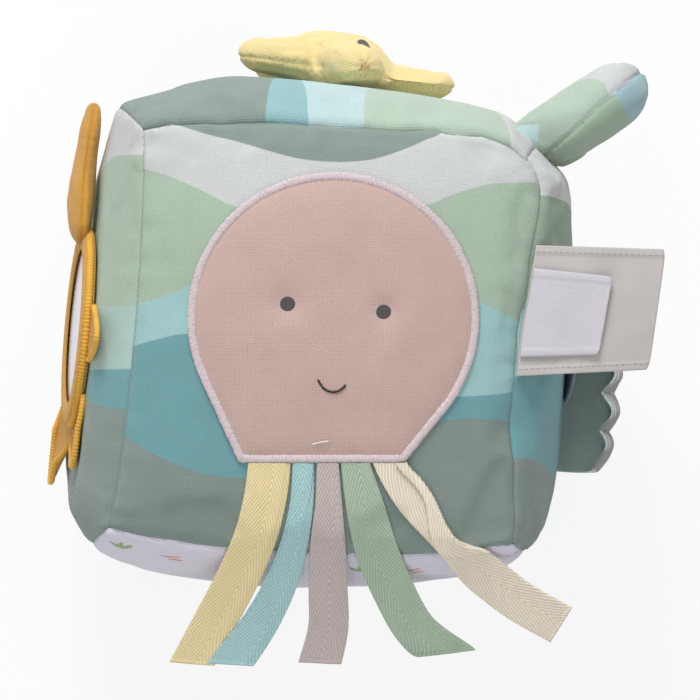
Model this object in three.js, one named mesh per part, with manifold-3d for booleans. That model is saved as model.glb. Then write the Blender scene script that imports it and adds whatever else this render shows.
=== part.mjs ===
// Stuffed fabric activity block for a baby: six sewn panels round a soft filling with a rattle, an
// octopus with five tape legs in front, a stuffed starfish on top, a starfish mirror on the left,
// a shell flap, two labels and a grab tab on the right. Millimetres, +Z out of the octopus panel,
// +Y towards the starfish, +X towards the labels. The block lies on its back panel at z = 0, and
// the origin is the middle of the flat patch it rests on.
import * as THREE from 'three';
import { mergeVertices } from 'three/addons/utils/BufferGeometryUtils.js';
import Module from 'manifold-3d';

const wasm = await Module();
wasm.setup();

// Block, measured between its seams
const blockWidth = 119;
const blockHeight = 118;
const blockDepth = 127;
const backSeamHeight = 10;
const skinThickness = 1.4;
const seamGap = 0.3;
const fillClearance = 0.6;
const touchGap = 0.3;
const panelSteps = 10;

// How far each panel swells past the sheet that its four seams span
const frontCrown = 8;
const backCrown = 4.5;
const leftCrown = 14;
const rightCrown = 10.5;
const topCrown = 10;
const bottomCrown = 8.5;

// Rattle inside the filling
const rattleRadius = 20;
const rattleWall = 1.8;
const rattleLip = 2;
const beadRadius = 4;
const beadCount = 3;
const rattleRounds = 16;
const rattleArcs = 6;

// Octopus head and its satin-stitched edge
const octopusX = 2.6;
const octopusY = 4.9;
const octopusRadius = 43.1;
const octopusNeckHalfWidth = 24.4;
const octopusNeckX = -0.9;
const octopusNeckDrop = 42.6;
const octopusMiddleShare = 0.25;
const octopusNeckDrawnShare = 1.2;
const octopusThickness = 1;
const stitchWidth = 2.6;
const stitchHeight = 1.3;
const octopusSpokes = 44;
const octopusRings = 3;

// Tape legs
const tapeWidth = 12.7;
const tapeThickness = 0.8;
const tapeSteps = 14;
const tapeSideSteps = 2;
const tapeRootGap = 0.7;
const tapeOverSeam = 2;
const tapeLift = 0.45;
const tapeDropShare = 0.62;
const tapeCurlShare = 0.3;
const legDrop = 62;

// Starfish on the top panel
const starfishX = 4.3;
const starfishZ = 64;
const starfishReach = 37;
const starfishBodyRadius = 19;
const starfishCrown = 13;
const starfishBelly = 6;
const starfishArmCount = 5;
const starfishArmRootWidth = 22;
const starfishArmTipWidth = 13;
const starfishArmRootThickness = 16.5;
const starfishArmTipThickness = 11;
const starfishTurn = 12;
const starfishTilt = -7.5;
const starfishArmRise = -1;
const starfishSeat = 0.6;
const bodyRings = 10;
const bodySpokes = 20;
const limbSpokes = 12;
const limbTipShare = 0.72;
const limbRootShare = 0.12;
const limbStationShares = [0.015, 0.06, 0.2, 0.4, 0.6, 0.74, 0.85, 0.93, 0.98];
const anchorRadius = 7;
const anchorThickness = 1;
const anchorSpokes = 20;
const starfishHollow = 4.5;
const starfishHollowSpread = 28;

// Starfish mirror on the left panel
const mirrorX = -79.6;
const mirrorY = 2.9;
const mirrorBelowFront = 47;
const mirrorTilt = 12;
const mirrorLean = 5;
const mirrorFilmRadius = 26;
const mirrorOpeningRadius = 24;
const mirrorRimRadius = 31;
const mirrorFilmThickness = 0.6;
const mirrorFrameThickness = 1.5;
const mirrorBackingThickness = 1.8;
const lobeThickness = 1.6;
const lobeRootWidth = 27;
const mirrorArmReach = 70;
const mirrorArmRootThickness = 9;
const mirrorArmTipThickness = 6;
const mirrorArmRootWidth = 27;
const mirrorArmTipWidth = 11;
const mirrorArmTurn = 4;
const mirrorArmLift = 4.6;
const mirrorSpokes = 28;
const lobeSteps = 5;
const lobeCloseShare = 0.55;
const lobePointShare = 0.45;
const mirrorSeat = 0.3;
const mirrorPressRadius = 52;
const mirrorPressReach = 80;
const lobeDepth = 0.1;

// Shell flap on the right panel
const flapY = -12;
const flapHingeBelowFront = 91;
const flapOpenAngle = 18;
const flapLength = 47;
const flapRootHalfWidth = 13;
const flapHalfWidth = 33;
const flapFabricThickness = 0.9;
const flapFilmThickness = 0.4;
const flapCup = 5;
const flapScallops = 5;
const flapScallopDepth = 4;
const flapScallopSteps = 4;
const flapSteps = 5;
const flapSeat = 0.3;
const flapSpreadShare = 1.15;
const flapEndShare = 0.22;
const flapNipShare = 0.1;
const patchRadius = 13;
const patchY = -8;
const patchBelowFront = 53;
const patchThickness = 1;

// Labels in the seam between the front and right panels
const careLabelLength = 41;
const careLabelHeight = 39;
const careLabelY = 7.2;
const careLabelThickness = 0.6;
const wovenLabelLength = 25;
const wovenLabelHeight = 26.5;
const wovenLabelY = 6.6;
const wovenLabelThickness = 0.7;
const wovenLabelSetBack = 1.6;
const labelDrop = 4;
const labelSeamGap = 0.8;
const labelSteps = 4;
const labelLift = 0.3;

// Stuffed grab tab in the seam between the top and right panels
const tabLength = 38;
const tabHalfThickness = 9.2;
const tabHalfWidth = 17;
const tabAngle = 35;
const tabBelowFront = 31;
const tabSeamGap = 1.8;
const tabPinchShare = 0.42;
const tabRootWidthShare = 0.55;
const tabSwellShare = 0.32;
const tabRoundShare = 0.72;
const tabStationShares = [0.001, 0.08, 0.2, 0.35, 0.5, 0.65, 0.78, 0.88, 0.95, 0.99];

const degrees = Math.PI / 180;
const mergeShare = 0.01;
const overrun = blockWidth;

// Corners in shares of the block's width and height from its middle axis
const frontCornerShares = {
  bottomLeft: [-0.545, -0.486],
  bottomRight: [0.461, -0.531],
  topRight: [0.539, 0.447],
  topLeft: [-0.456, 0.526],
};
const backCornerShares = {
  bottomLeft: [-0.51, -0.49],
  bottomRight: [0.49, -0.51],
  topRight: [0.51, 0.49],
  topLeft: [-0.49, 0.51],
};

// How far each seam bows at its middle, in shares of the block's width, height and depth
const seamBowShares = {
  'frontBottomLeft frontBottomRight': [0, -0.034, 0.022],
  'frontTopLeft frontTopRight': [0, 0.046, 0.022],
  'frontBottomLeft frontTopLeft': [0.023, 0, 0.022],
  'frontBottomRight frontTopRight': [-0.019, 0, 0.022],
  'backBottomLeft backBottomRight': [0, -0.034, -0.024],
  'backTopLeft backTopRight': [0, 0.034, -0.024],
  'backBottomLeft backTopLeft': [-0.034, 0, -0.024],
  'backBottomRight backTopRight': [0.034, 0, -0.024],
  'backBottomLeft frontBottomLeft': [-0.084, -0.066, 0],
  'backBottomRight frontBottomRight': [0.042, -0.044, 0],
  'backTopRight frontTopRight': [0.046, 0.046, 0],
  'backTopLeft frontTopLeft': [-0.078, 0.09, 0],
};
const seamFullnessShare = 0.75;
const crownFullnessShare = 0.5;
const leftFullnessShare = 0.8;

const frontSeamHeight = backSeamHeight + blockDepth;
const midHeight = backSeamHeight + blockDepth / 2;
const solveRounds = 30;
const poleCount = 2;
const blockMiddle = new THREE.Vector3(0, 0, midHeight);
const cornerNames = ['BottomLeft', 'BottomRight', 'TopRight', 'TopLeft'];

function cornerPoint(share, z) {
  return new THREE.Vector3(share[0] * blockWidth, share[1] * blockHeight, z);
}

const corners = {};
for (const name of cornerNames) {
  const key = name[0].toLowerCase() + name.slice(1);
  corners['front' + name] = cornerPoint(frontCornerShares[key], frontSeamHeight);
  corners['back' + name] = cornerPoint(backCornerShares[key], backSeamHeight);
}

function seamPoint(from, to, t) {
  const share = seamBowShares[[from, to].sort().join(' ')];
  const swell = Math.pow(4 * t * (1 - t), seamFullnessShare);
  const bow = new THREE.Vector3(share[0] * blockWidth, share[1] * blockHeight, share[2] * blockDepth);
  return corners[from].clone().lerp(corners[to], t).addScaledVector(bow, swell);
}

// Local +X of the mirror runs towards the octopus, +Y up the block and +Z out of the mirror
const mirror = new THREE.Group();
mirror.position.set(mirrorX, mirrorY, frontSeamHeight - mirrorBelowFront);
mirror.rotation.set(0, -Math.PI / 2 + mirrorTilt * degrees, -mirrorLean * degrees, 'ZYX');
mirror.updateMatrix();
const filmBack = -touchGap - mirrorFilmThickness;
const backingFront = filmBack - touchGap;
const backingBack = backingFront - mirrorBackingThickness;

// The starfish draws its panel in round its middle
function starfishHollowAt(point) {
  const square = (point.x - starfishX) ** 2 + (point.z - starfishZ) ** 2;
  return starfishHollow * Math.exp(-square / (2 * starfishHollowSpread * starfishHollowSpread));
}

// The mirror's back presses its panel flat, less and less past its rim
function mirrorPressAt(point) {
  const local = mirror.worldToLocal(point.clone());
  const away = Math.hypot(local.x, local.y);
  const fade = THREE.MathUtils.smoothstep(away, mirrorPressRadius, mirrorPressReach);
  const proud = Math.max(0, local.z - (backingBack - lobeDepth - mirrorSeat));
  return (proud * (1 - fade)) / Math.cos(mirrorTilt * degrees);
}

// Each panel's corners go round so that across times along points outwards
const panels = {
  front: {
    corners: ['frontBottomLeft', 'frontBottomRight', 'frontTopRight', 'frontTopLeft'],
    out: new THREE.Vector3(0, 0, 1), crown: frontCrown, axes: ['x', 'y'], skewShares: [0, 0],
  },
  back: {
    corners: ['backBottomLeft', 'backTopLeft', 'backTopRight', 'backBottomRight'],
    out: new THREE.Vector3(0, 0, -1), crown: backCrown, axes: ['y', 'x'], skewShares: [0, 0],
  },
  left: {
    corners: ['backBottomLeft', 'frontBottomLeft', 'frontTopLeft', 'backTopLeft'],
    out: new THREE.Vector3(-1, 0, 0), crown: leftCrown, axes: ['z', 'y'], skewShares: [0, -0.6],
    fullness: leftFullnessShare, drawnIn: mirrorPressAt,
  },
  right: {
    corners: ['backBottomRight', 'backTopRight', 'frontTopRight', 'frontBottomRight'],
    out: new THREE.Vector3(1, 0, 0), crown: rightCrown, axes: ['y', 'z'], skewShares: [0, 0],
  },
  top: {
    corners: ['backTopLeft', 'frontTopLeft', 'frontTopRight', 'backTopRight'],
    out: new THREE.Vector3(0, 1, 0), crown: topCrown, axes: ['z', 'x'], skewShares: [0, -0.2],
    drawnIn: starfishHollowAt,
  },
  bottom: {
    corners: ['backBottomLeft', 'backBottomRight', 'frontBottomRight', 'frontBottomLeft'],
    out: new THREE.Vector3(0, -1, 0), crown: bottomCrown, axes: ['x', 'z'], skewShares: [0, 0],
  },
};

// The sheet between four seams, swollen by the filling
function panelPoint(panel, u, v) {
  const [a, b, c, d] = panel.corners;
  const near = seamPoint(a, b, u).multiplyScalar(1 - v).addScaledVector(seamPoint(d, c, u), v);
  const side = seamPoint(a, d, v).multiplyScalar(1 - u).addScaledVector(seamPoint(b, c, v), u);
  const flat = corners[a].clone().multiplyScalar((1 - u) * (1 - v));
  flat.addScaledVector(corners[b], u * (1 - v));
  flat.addScaledVector(corners[c], u * v);
  flat.addScaledVector(corners[d], (1 - u) * v);
  const point = near.add(side).sub(flat);
  const full = Math.max(0, 16 * u * (1 - u) * v * (1 - v));
  const profile = Math.pow(full, panel.fullness ?? crownFullnessShare);
  const skew = 1 + panel.skewShares[0] * (2 * u - 1) + panel.skewShares[1] * (2 * v - 1);
  point.addScaledVector(panel.out, panel.crown * profile * skew);
  if (panel.drawnIn) point.addScaledVector(panel.out, -panel.drawnIn(point) * Math.min(1, 2 * profile));
  point.z = Math.max(point.z, 0);
  return point;
}

// The panel's outer surface over a place given along its two in-plane axes
function onPanel(panel, first, second) {
  const [a, b, , d] = panel.corners;
  const [across, along] = panel.axes;
  const spanAcross = corners[b][across] - corners[a][across];
  const spanAlong = corners[d][along] - corners[a][along];
  let u = 1 / 2;
  let v = 1 / 2;
  for (let round = 0; round < solveRounds; round += 1) {
    const point = panelPoint(panel, u, v);
    u = THREE.MathUtils.clamp(u + (first - point[across]) / spanAcross, 0, 1);
    v = THREE.MathUtils.clamp(v + (second - point[along]) / spanAlong, 0, 1);
  }
  return panelPoint(panel, u, v);
}

// Sunk towards the block's middle
function sunk(point, depth) {
  const inward = blockMiddle.clone().sub(point).normalize();
  return point.clone().addScaledVector(inward, depth);
}

// A geometry from points and triangles, with its faces turned outwards
function solidGeometry(points, triangles) {
  const geometry = new THREE.BufferGeometry();
  const flat = points.flatMap((point) => [point.x, point.y, point.z]);
  geometry.setAttribute('position', new THREE.Float32BufferAttribute(flat, 3));
  let volume = 0;
  for (const [a, b, c] of triangles) {
    volume += points[a].dot(points[b].clone().cross(points[c]));
  }
  const turned = volume < 0 ? triangles.map(([a, b, c]) => [a, c, b]) : triangles;
  geometry.setIndex(turned.flat());
  return geometry;
}

// Quads of a grid of points, as two triangles each
function gridTriangles(columns, rows, at, closed = false) {
  const triangles = [];
  const last = closed ? columns : columns - 1;
  for (let i = 0; i < last; i += 1) {
    for (let j = 0; j < rows - 1; j += 1) {
      const next = (i + 1) % columns;
      triangles.push([at(i, j), at(next, j), at(next, j + 1)]);
      triangles.push([at(i, j), at(next, j + 1), at(i, j + 1)]);
    }
  }
  return triangles;
}

// A closed sheet between an outer and an inner surface, both functions of two shares from 0 to 1
function sheetGeometry(acrossShares, alongShares, outer, inner) {
  const columns = acrossShares.length;
  const rows = alongShares.length;
  const points = [];
  for (const surface of [outer, inner]) {
    for (const u of acrossShares) {
      for (const v of alongShares) {
        points.push(surface(u, v));
      }
    }
  }
  const under = columns * rows;
  const top = (i, j) => i * rows + j;
  const low = (i, j) => under + i * rows + j;
  const triangles = gridTriangles(columns, rows, top);
  triangles.push(...gridTriangles(columns, rows, low).map(([a, b, c]) => [a, c, b]));
  const rim = [];
  for (let i = 0; i < columns - 1; i += 1) rim.push([i, 0]);
  for (let j = 0; j < rows - 1; j += 1) rim.push([columns - 1, j]);
  for (let i = columns - 1; i > 0; i -= 1) rim.push([i, rows - 1]);
  for (let j = rows - 1; j > 0; j -= 1) rim.push([0, j]);
  rim.forEach(([i, j], index) => {
    const [k, l] = rim[(index + 1) % rim.length];
    triangles.push([top(i, j), low(i, j), low(k, l)]);
    triangles.push([top(i, j), low(k, l), top(k, l)]);
  });
  return solidGeometry(points, triangles);
}

// A closed round sheet: both surfaces take a share out from the middle and a turn in radians
function discGeometry(spokes, rings, outer, inner) {
  const points = [outer(0, 0), inner(0, 0)];
  const size = spokes * rings;
  for (const surface of [outer, inner]) {
    for (let ring = 1; ring <= rings; ring += 1) {
      for (let spoke = 0; spoke < spokes; spoke += 1) {
        points.push(surface(ring / rings, (2 * Math.PI * spoke) / spokes));
      }
    }
  }
  const top = (spoke, ring) => poleCount + ring * spokes + spoke;
  const low = (spoke, ring) => top(spoke, ring) + size;
  const triangles = gridTriangles(spokes, rings, top, true).map(([a, b, c]) => [a, c, b]);
  triangles.push(...gridTriangles(spokes, rings, low, true));
  for (let spoke = 0; spoke < spokes; spoke += 1) {
    const next = (spoke + 1) % spokes;
    triangles.push([0, top(spoke, 0), top(next, 0)]);
    triangles.push([1, low(next, 0), low(spoke, 0)]);
    triangles.push([top(spoke, rings - 1), low(spoke, rings - 1), low(next, rings - 1)]);
    triangles.push([top(spoke, rings - 1), low(next, rings - 1), top(next, rings - 1)]);
  }
  return solidGeometry(points, triangles);
}

// A closed ring: a section of several points carried round a loop
function loopGeometry(steps, section) {
  const sections = [];
  for (let step = 0; step < steps; step += 1) sections.push(section(step));
  const size = sections[0].length;
  const triangles = [];
  for (let i = 0; i < steps; i += 1) {
    for (let j = 0; j < size; j += 1) {
      const here = i * size + j;
      const side = i * size + ((j + 1) % size);
      const next = ((i + 1) % steps) * size + j;
      const nextSide = ((i + 1) % steps) * size + ((j + 1) % size);
      triangles.push([here, side, nextSide]);
      triangles.push([here, nextSide, next]);
    }
  }
  return solidGeometry(sections.flat(), triangles);
}

// A stuffed limb: rings between two poles, from a function of a share along it and a turn
function limbGeometry(alongShares, spokes, surface) {
  const points = [surface(0, 0), surface(1, 0)];
  for (const share of alongShares) {
    for (let spoke = 0; spoke < spokes; spoke += 1) {
      points.push(surface(share, (2 * Math.PI * spoke) / spokes));
    }
  }
  const rings = alongShares.length;
  const at = (spoke, ring) => poleCount + ring * spokes + spoke;
  const triangles = gridTriangles(spokes, rings, at, true);
  for (let spoke = 0; spoke < spokes; spoke += 1) {
    const next = (spoke + 1) % spokes;
    triangles.push([0, at(next, 0), at(spoke, 0)]);
    triangles.push([1, at(spoke, rings - 1), at(next, rings - 1)]);
  }
  return solidGeometry(points, triangles);
}

function toSolid(geometry) {
  const bare = geometry.clone();
  bare.deleteAttribute('normal');
  bare.deleteAttribute('uv');
  const merged = mergeVertices(bare);
  return new wasm.Manifold(new wasm.Mesh({
    numProp: 3,
    vertProperties: new Float32Array(merged.attributes.position.array),
    triVerts: new Uint32Array(merged.index.array),
  }));
}

function fromSolid(solid) {
  const mesh = solid.getMesh();
  const geometry = new THREE.BufferGeometry();
  geometry.setAttribute('position', new THREE.BufferAttribute(new Float32Array(mesh.vertProperties), 3));
  geometry.setIndex(new THREE.BufferAttribute(new Uint32Array(mesh.triVerts), 1));
  return geometry;
}

// Shares from 0 to 1 that crowd towards both ends, where a stuffed panel turns fastest
function crowdedShares(steps) {
  return Array.from({ length: steps + 1 }, (_, i) => (1 - Math.cos((Math.PI * i) / steps)) / 2);
}

function evenShares(steps) {
  return Array.from({ length: steps + 1 }, (_, i) => i / steps);
}

const block = new THREE.Group();

function addPiece(parent, name, geometry, color, roughness = 0.9, metalness = 0) {
  const material = new THREE.MeshStandardMaterial({ color, roughness, metalness });
  const mesh = new THREE.Mesh(geometry, material);
  mesh.name = name;
  parent.add(mesh);
  return mesh;
}

const colours = {
  front: 0x9bc3b4,
  back: 0x8fb3ad,
  left: 0xa5c0a8,
  right: 0x9fb8a4,
  top: 0xb9e1e1,
  bottom: 0xe1dedb,
  filling: 0xf2f0ea,
  rattle: 0xf4f4f2,
  bead: 0xd8a24a,
  octopus: 0xcbaea8,
  stitch: 0xdccccf,
  starfish: 0xf5e1a0,
  mirrorFabric: 0xe1aa3c,
  mirrorFilm: 0xc8c6d2,
  flapOuter: 0xb4b2b0,
  flapLining: 0x8fa59c,
  crinkle: 0xdadada,
  patch: 0x5e7f8c,
  wovenLabel: 0xe1dee4,
  careLabel: 0xcdc8c6,
  tab: 0xa9cdb0,
};

// Six panels
for (const [name, panel] of Object.entries(panels)) {
  const [a, b, , d] = panel.corners;
  const insetAcross = seamGap / corners[a].distanceTo(corners[b]);
  const insetAlong = seamGap / corners[a].distanceTo(corners[d]);
  const place = (u, v) => panelPoint(
    panel,
    insetAcross + (1 - 2 * insetAcross) * u,
    insetAlong + (1 - 2 * insetAlong) * v,
  );
  const shares = crowdedShares(panelSteps);
  const geometry = sheetGeometry(shares, shares, place, (u, v) => sunk(place(u, v), skinThickness));
  addPiece(block, name + '_panel', geometry, colours[name]);
}

// The filling in a front and a back half, with a round pocket for the rattle
function fillingGeometry() {
  const points = [];
  const triangles = [];
  const shares = crowdedShares(panelSteps);
  for (const panel of Object.values(panels)) {
    const start = points.length;
    for (const u of shares) {
      for (const v of shares) {
        points.push(sunk(panelPoint(panel, u, v), skinThickness + fillClearance));
      }
    }
    triangles.push(...gridTriangles(shares.length, shares.length, (i, j) => start + i * shares.length + j));
  }
  return solidGeometry(points, triangles);
}

function fillingSolid() {
  const geometry = fillingGeometry();
  const merged = mergeVertices(geometry, touchGap * mergeShare);
  return toSolid(merged);
}

const filling = fillingSolid();
const pocket = new THREE.SphereGeometry(rattleRadius + touchGap, rattleRounds, rattleArcs * 2);
pocket.rotateX(Math.PI / 2);
pocket.translate(0, 0, midHeight);
const pocketSolid = toSolid(pocket);
for (const [name, side] of [['stuffing_front', 1], ['stuffing_back', -1]]) {
  const half = new THREE.BoxGeometry(2 * overrun, 2 * overrun, overrun);
  half.translate(0, 0, midHeight + side * (overrun + touchGap) / 2);
  const solid = filling.intersect(toSolid(half)).subtract(pocketSolid);
  addPiece(block, name, fromSolid(solid), colours.filling);
}

// Rattle: two cups, the front one with a tongue that drops into the back one's rebate
const rattleInside = rattleRadius - rattleWall;
const lipRadius = rattleRadius - rattleWall / 2;

function arcPoints(radius, from, to) {
  return evenShares(rattleArcs).map((share) => {
    const angle = from + (to - from) * share;
    return new THREE.Vector2(radius * Math.sin(angle), -radius * Math.cos(angle));
  });
}

function cupGeometry(rim) {
  const outside = arcPoints(rattleRadius, 0, Math.acos(touchGap / 2 / rattleRadius));
  const lastAngle = Math.acos(rattleLip / rattleInside);
  const inside = arcPoints(rattleInside, lastAngle, 0);
  const profile = [...outside, ...rim, ...inside];
  profile[0].x = 0;
  profile[profile.length - 1].x = 0;
  const geometry = new THREE.LatheGeometry(profile, rattleRounds);
  geometry.rotateX(Math.PI / 2);
  return geometry;
}

const backRim = [
  new THREE.Vector2(lipRadius + touchGap / 2, -touchGap / 2),
  new THREE.Vector2(lipRadius + touchGap / 2, -rattleLip - touchGap),
];
const frontRim = [
  new THREE.Vector2(lipRadius - touchGap / 2, -touchGap / 2),
  new THREE.Vector2(lipRadius - touchGap / 2, rattleLip),
  new THREE.Vector2(rattleInside, rattleLip),
];

function frontCupGeometry() {
  const geometry = cupGeometry(frontRim);
  geometry.rotateX(Math.PI);
  return geometry;
}

addPiece(block, 'rattle_shell_back', cupGeometry(backRim), colours.rattle, 0.4).position.z = midHeight;
addPiece(block, 'rattle_shell_front', frontCupGeometry(), colours.rattle, 0.4).position.z = midHeight;

const beadCircle = (beadRadius + touchGap) / Math.sin(Math.PI / beadCount);
const beadReach = rattleInside - beadRadius - 2 * touchGap;
const beadDrop = Math.sqrt(beadReach ** 2 - beadCircle ** 2);
for (let bead = 0; bead < beadCount; bead += 1) {
  const turn = (2 * Math.PI * bead) / beadCount;
  const ball = new THREE.IcosahedronGeometry(beadRadius, 1);
  const mesh = addPiece(block, `rattle_bead_${bead + 1}`, ball, colours.bead, 0.5);
  mesh.position.set(beadCircle * Math.cos(turn), beadCircle * Math.sin(turn), midHeight - beadDrop);
}

// Octopus outline as points, drawn in by an inset: a round head over sides that taper to the neck
const octopusMiddleX = octopusX;
const octopusMiddleY = octopusY - octopusNeckDrop * octopusMiddleShare;

function octopusOutline(inset) {
  const radius = octopusRadius - inset;
  const neckY = octopusY - octopusNeckDrop + inset;
  const reach = octopusNeckHalfWidth - inset * octopusNeckDrawnShare;
  const left = new THREE.Vector2(octopusNeckX - reach, neckY);
  const right = new THREE.Vector2(octopusNeckX + reach, neckY);
  const centre = new THREE.Vector2(octopusX, octopusY);
  const tangent = (corner, side) => {
    const away = corner.clone().sub(centre);
    const spread = Math.acos(Math.min(1, radius / away.length()));
    return Math.atan2(away.y, away.x) + side * spread;
  };
  const start = tangent(right, 1);
  const end = tangent(left, -1) + 2 * Math.PI;
  return { radius, centre, left, right, start, end, neckY };
}

// Where a spoke from the octopus's middle meets its outline
function octopusEdge(turn, inset) {
  const shape = octopusOutline(inset);
  const path = new THREE.Path();
  path.absarc(shape.centre.x, shape.centre.y, shape.radius, shape.start, shape.end, false);
  path.lineTo(shape.left.x, shape.left.y);
  path.lineTo(shape.right.x, shape.right.y);
  path.closePath();
  const points = path.getPoints(octopusSpokes * 2);
  const ray = new THREE.Vector2(Math.cos(turn), Math.sin(turn));
  let best = 0;
  for (let i = 0; i < points.length - 1; i += 1) {
    const a = points[i].clone().sub(new THREE.Vector2(octopusMiddleX, octopusMiddleY));
    const b = points[i + 1].clone().sub(new THREE.Vector2(octopusMiddleX, octopusMiddleY));
    const step = b.clone().sub(a);
    const cross = ray.x * step.y - ray.y * step.x;
    const out = (a.x * step.y - a.y * step.x) / cross;
    const along = (a.x * ray.y - a.y * ray.x) / cross;
    if (cross !== 0 && out > 0 && along >= 0 && along <= 1) best = Math.max(best, out);
  }
  return best;
}

function octopusSurface(inset, lift) {
  const edges = new Map();
  return (share, turn) => {
    if (!edges.has(turn)) edges.set(turn, octopusEdge(turn, inset));
    const reach = edges.get(turn) * share;
    const x = octopusMiddleX + reach * Math.cos(turn);
    const y = octopusMiddleY + reach * Math.sin(turn);
    const point = onPanel(panels.front, x, y);
    point.z += lift;
    return point;
  };
}

const headInset = stitchWidth + touchGap;
addPiece(block, 'octopus_head', discGeometry(
  octopusSpokes,
  octopusRings,
  octopusSurface(headInset, touchGap + octopusThickness),
  octopusSurface(headInset, touchGap),
), colours.octopus);

const stitchShares = [[0, 0], [0.2, 0.85], [0.5, 1], [0.8, 0.85], [1, 0]];
const stitchSurfaces = stitchShares.map(([across, up]) => (
  octopusSurface(across * stitchWidth, touchGap + up * stitchHeight)
));
addPiece(block, 'octopus_edging', loopGeometry(octopusSpokes, (step) => (
  stitchSurfaces.map((surface) => surface(1, (2 * Math.PI * step) / octopusSpokes))
)), colours.stitch);

// Tape legs: they lie on the panel, run over its lower seam and out past the block. Each row is a
// place on the leg's middle line, in shares of the legs' drop from the neck's middle, and the
// share of its width that shows beside its neighbours
const tapeCourseShares = {
  yellow: [[-0.247, 0, 1], [-0.269, 0.163, 1], [-0.321, 0.357, 1], [-0.407, 0.563, 1], [-0.511, 0.76, 1],
    [-0.638, 0.982, 1]],
  aqua: [[-0.086, 0, 0.5], [-0.094, 0.18, 0.53], [-0.13, 0.377, 0.6], [-0.19, 0.575, 0.72],
    [-0.285, 0.78, 0.74], [-0.425, 0.985, 0.74]],
  grey: [[0.03, 0, 0.51], [0.034, 0.187, 0.63], [0.03, 0.389, 0.83], [0.03, 0.606, 0.92], [0.03, 0.8, 0.95],
    [-0.016, 0.99, 1]],
  green: [[0.162, 0, 0.68], [0.21, 0.21, 0.9], [0.262, 0.41, 1], [0.347, 0.619, 1], [0.454, 0.807, 1],
    [0.632, 0.963, 1]],
  cream: [[0.32, 0, 0.62], [0.449, 0.186, 0.79], [0.597, 0.391, 0.6], [0.753, 0.512, 0.9],
    [0.946, 0.665, 1], [1.165, 0.793, 1]],
};
const tapeColours = {
  yellow: 0xf3dc96,
  aqua: 0xa0cdcd,
  grey: 0xafa5a2,
  green: 0xa0bea0,
  cream: 0xf0dec3,
};
const tapeRootY = octopusY - octopusNeckDrop - tapeRootGap;
const tapeEdgeY = onPanel(panels.front, 0, -blockHeight).y + tapeOverSeam;
const tapeRootShare = 0.2;

function tapeHeight(x, y) {
  const rest = onPanel(panels.front, x, Math.max(y, tapeEdgeY)).z + tapeLift + tapeThickness / 2;
  const past = Math.max(0, tapeEdgeY - y);
  return rest - tapeDropShare * past * (1 - (tapeCurlShare * past) / legDrop);
}

function tapeGeometry(course) {
  const middle = new THREE.SplineCurve(course.map(([x, y]) => (
    new THREE.Vector2(octopusNeckX + x * legDrop, tapeRootY - y * legDrop)
  )));
  const widths = new THREE.SplineCurve(course.map(([, y, width]) => new THREE.Vector2(y, width)));
  const place = (side) => (u, v) => {
    const centre = middle.getPoint(u);
    const along = middle.getTangent(u);
    const square = new THREE.Vector2(-along.y, along.x);
    const turn = THREE.MathUtils.smoothstep(u, 0, tapeRootShare);
    const across = new THREE.Vector2(1, 0).lerp(square, turn).normalize();
    centre.addScaledVector(across, (v - 1 / 2) * tapeWidth * widths.getPoint(u).y);
    const height = tapeHeight(centre.x, centre.y) + (side * tapeThickness) / 2;
    return new THREE.Vector3(centre.x, centre.y, height);
  };
  return sheetGeometry(evenShares(tapeSteps), evenShares(tapeSideSteps), place(1), place(-1));
}

for (const [name, course] of Object.entries(tapeCourseShares)) {
  addPiece(block, `ribbon_${name}`, tapeGeometry(course), tapeColours[name]);
}

// Starfish on top: a crowned body and five tapered arms, on a round anchor sewn to the panel
const anchorTop = anchorThickness + touchGap;

function anchorSurface(lift) {
  return (share, turn) => {
    const x = starfishX + anchorRadius * share * Math.cos(turn);
    const z = starfishZ + anchorRadius * share * Math.sin(turn);
    const point = onPanel(panels.top, z, x);
    point.y += lift;
    return point;
  };
}

addPiece(block, 'starfish_anchor', discGeometry(
  anchorSpokes,
  2,
  anchorSurface(anchorTop),
  anchorSurface(touchGap),
), colours.starfish);

const starfish = new THREE.Group();
const anchorPoint = onPanel(panels.top, starfishZ, starfishX);
starfish.position.copy(anchorPoint);
starfish.position.y += anchorTop + starfishSeat + starfishBelly;
starfish.rotation.z = starfishTilt * degrees;
block.add(starfish);

// The body's outline from the pole below to the pole above, fuller than a plain ellipse
const bodyFullnessShare = 0.8;

function starfishBodyGeometry(grow) {
  const profile = evenShares(bodyRings).map((share) => {
    const angle = Math.PI * (share - 1 / 2);
    const radius = (starfishBodyRadius + grow) * Math.pow(Math.cos(angle), bodyFullnessShare);
    const height = Math.sin(angle) * (angle > 0 ? starfishCrown + grow : starfishBelly + grow);
    return new THREE.Vector2(Math.max(radius, 0), height);
  });
  profile[0].x = 0;
  profile[profile.length - 1].x = 0;
  return new THREE.LatheGeometry(profile, bodySpokes);
}

addPiece(starfish, 'starfish_body', starfishBodyGeometry(0), colours.starfish);

// A stuffed limb along +X: it opens quickly from its root, tapers, and closes round at its tip
function stuffedLimb(sizes) {
  const { from, to, rootWidth, tipWidth, rootThickness, tipThickness, lift, rise } = sizes;
  const surface = (share, turn) => {
    const tip = Math.max(0, (share - limbTipShare) / (1 - limbTipShare));
    const root = Math.max(0, 1 - share / limbRootShare);
    const round = Math.sqrt(Math.max(0, 1 - tip * tip)) * Math.sqrt(Math.max(0, 1 - root * root));
    const halfWidth = (round * THREE.MathUtils.lerp(rootWidth, tipWidth, share)) / 2;
    const halfThickness = (round * THREE.MathUtils.lerp(rootThickness, tipThickness, share)) / 2;
    return new THREE.Vector3(
      from + (to - from) * share,
      lift + rise * share + halfThickness * Math.cos(turn),
      halfWidth * Math.sin(turn),
    );
  };
  return limbGeometry(limbStationShares, limbSpokes, surface);
}

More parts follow.
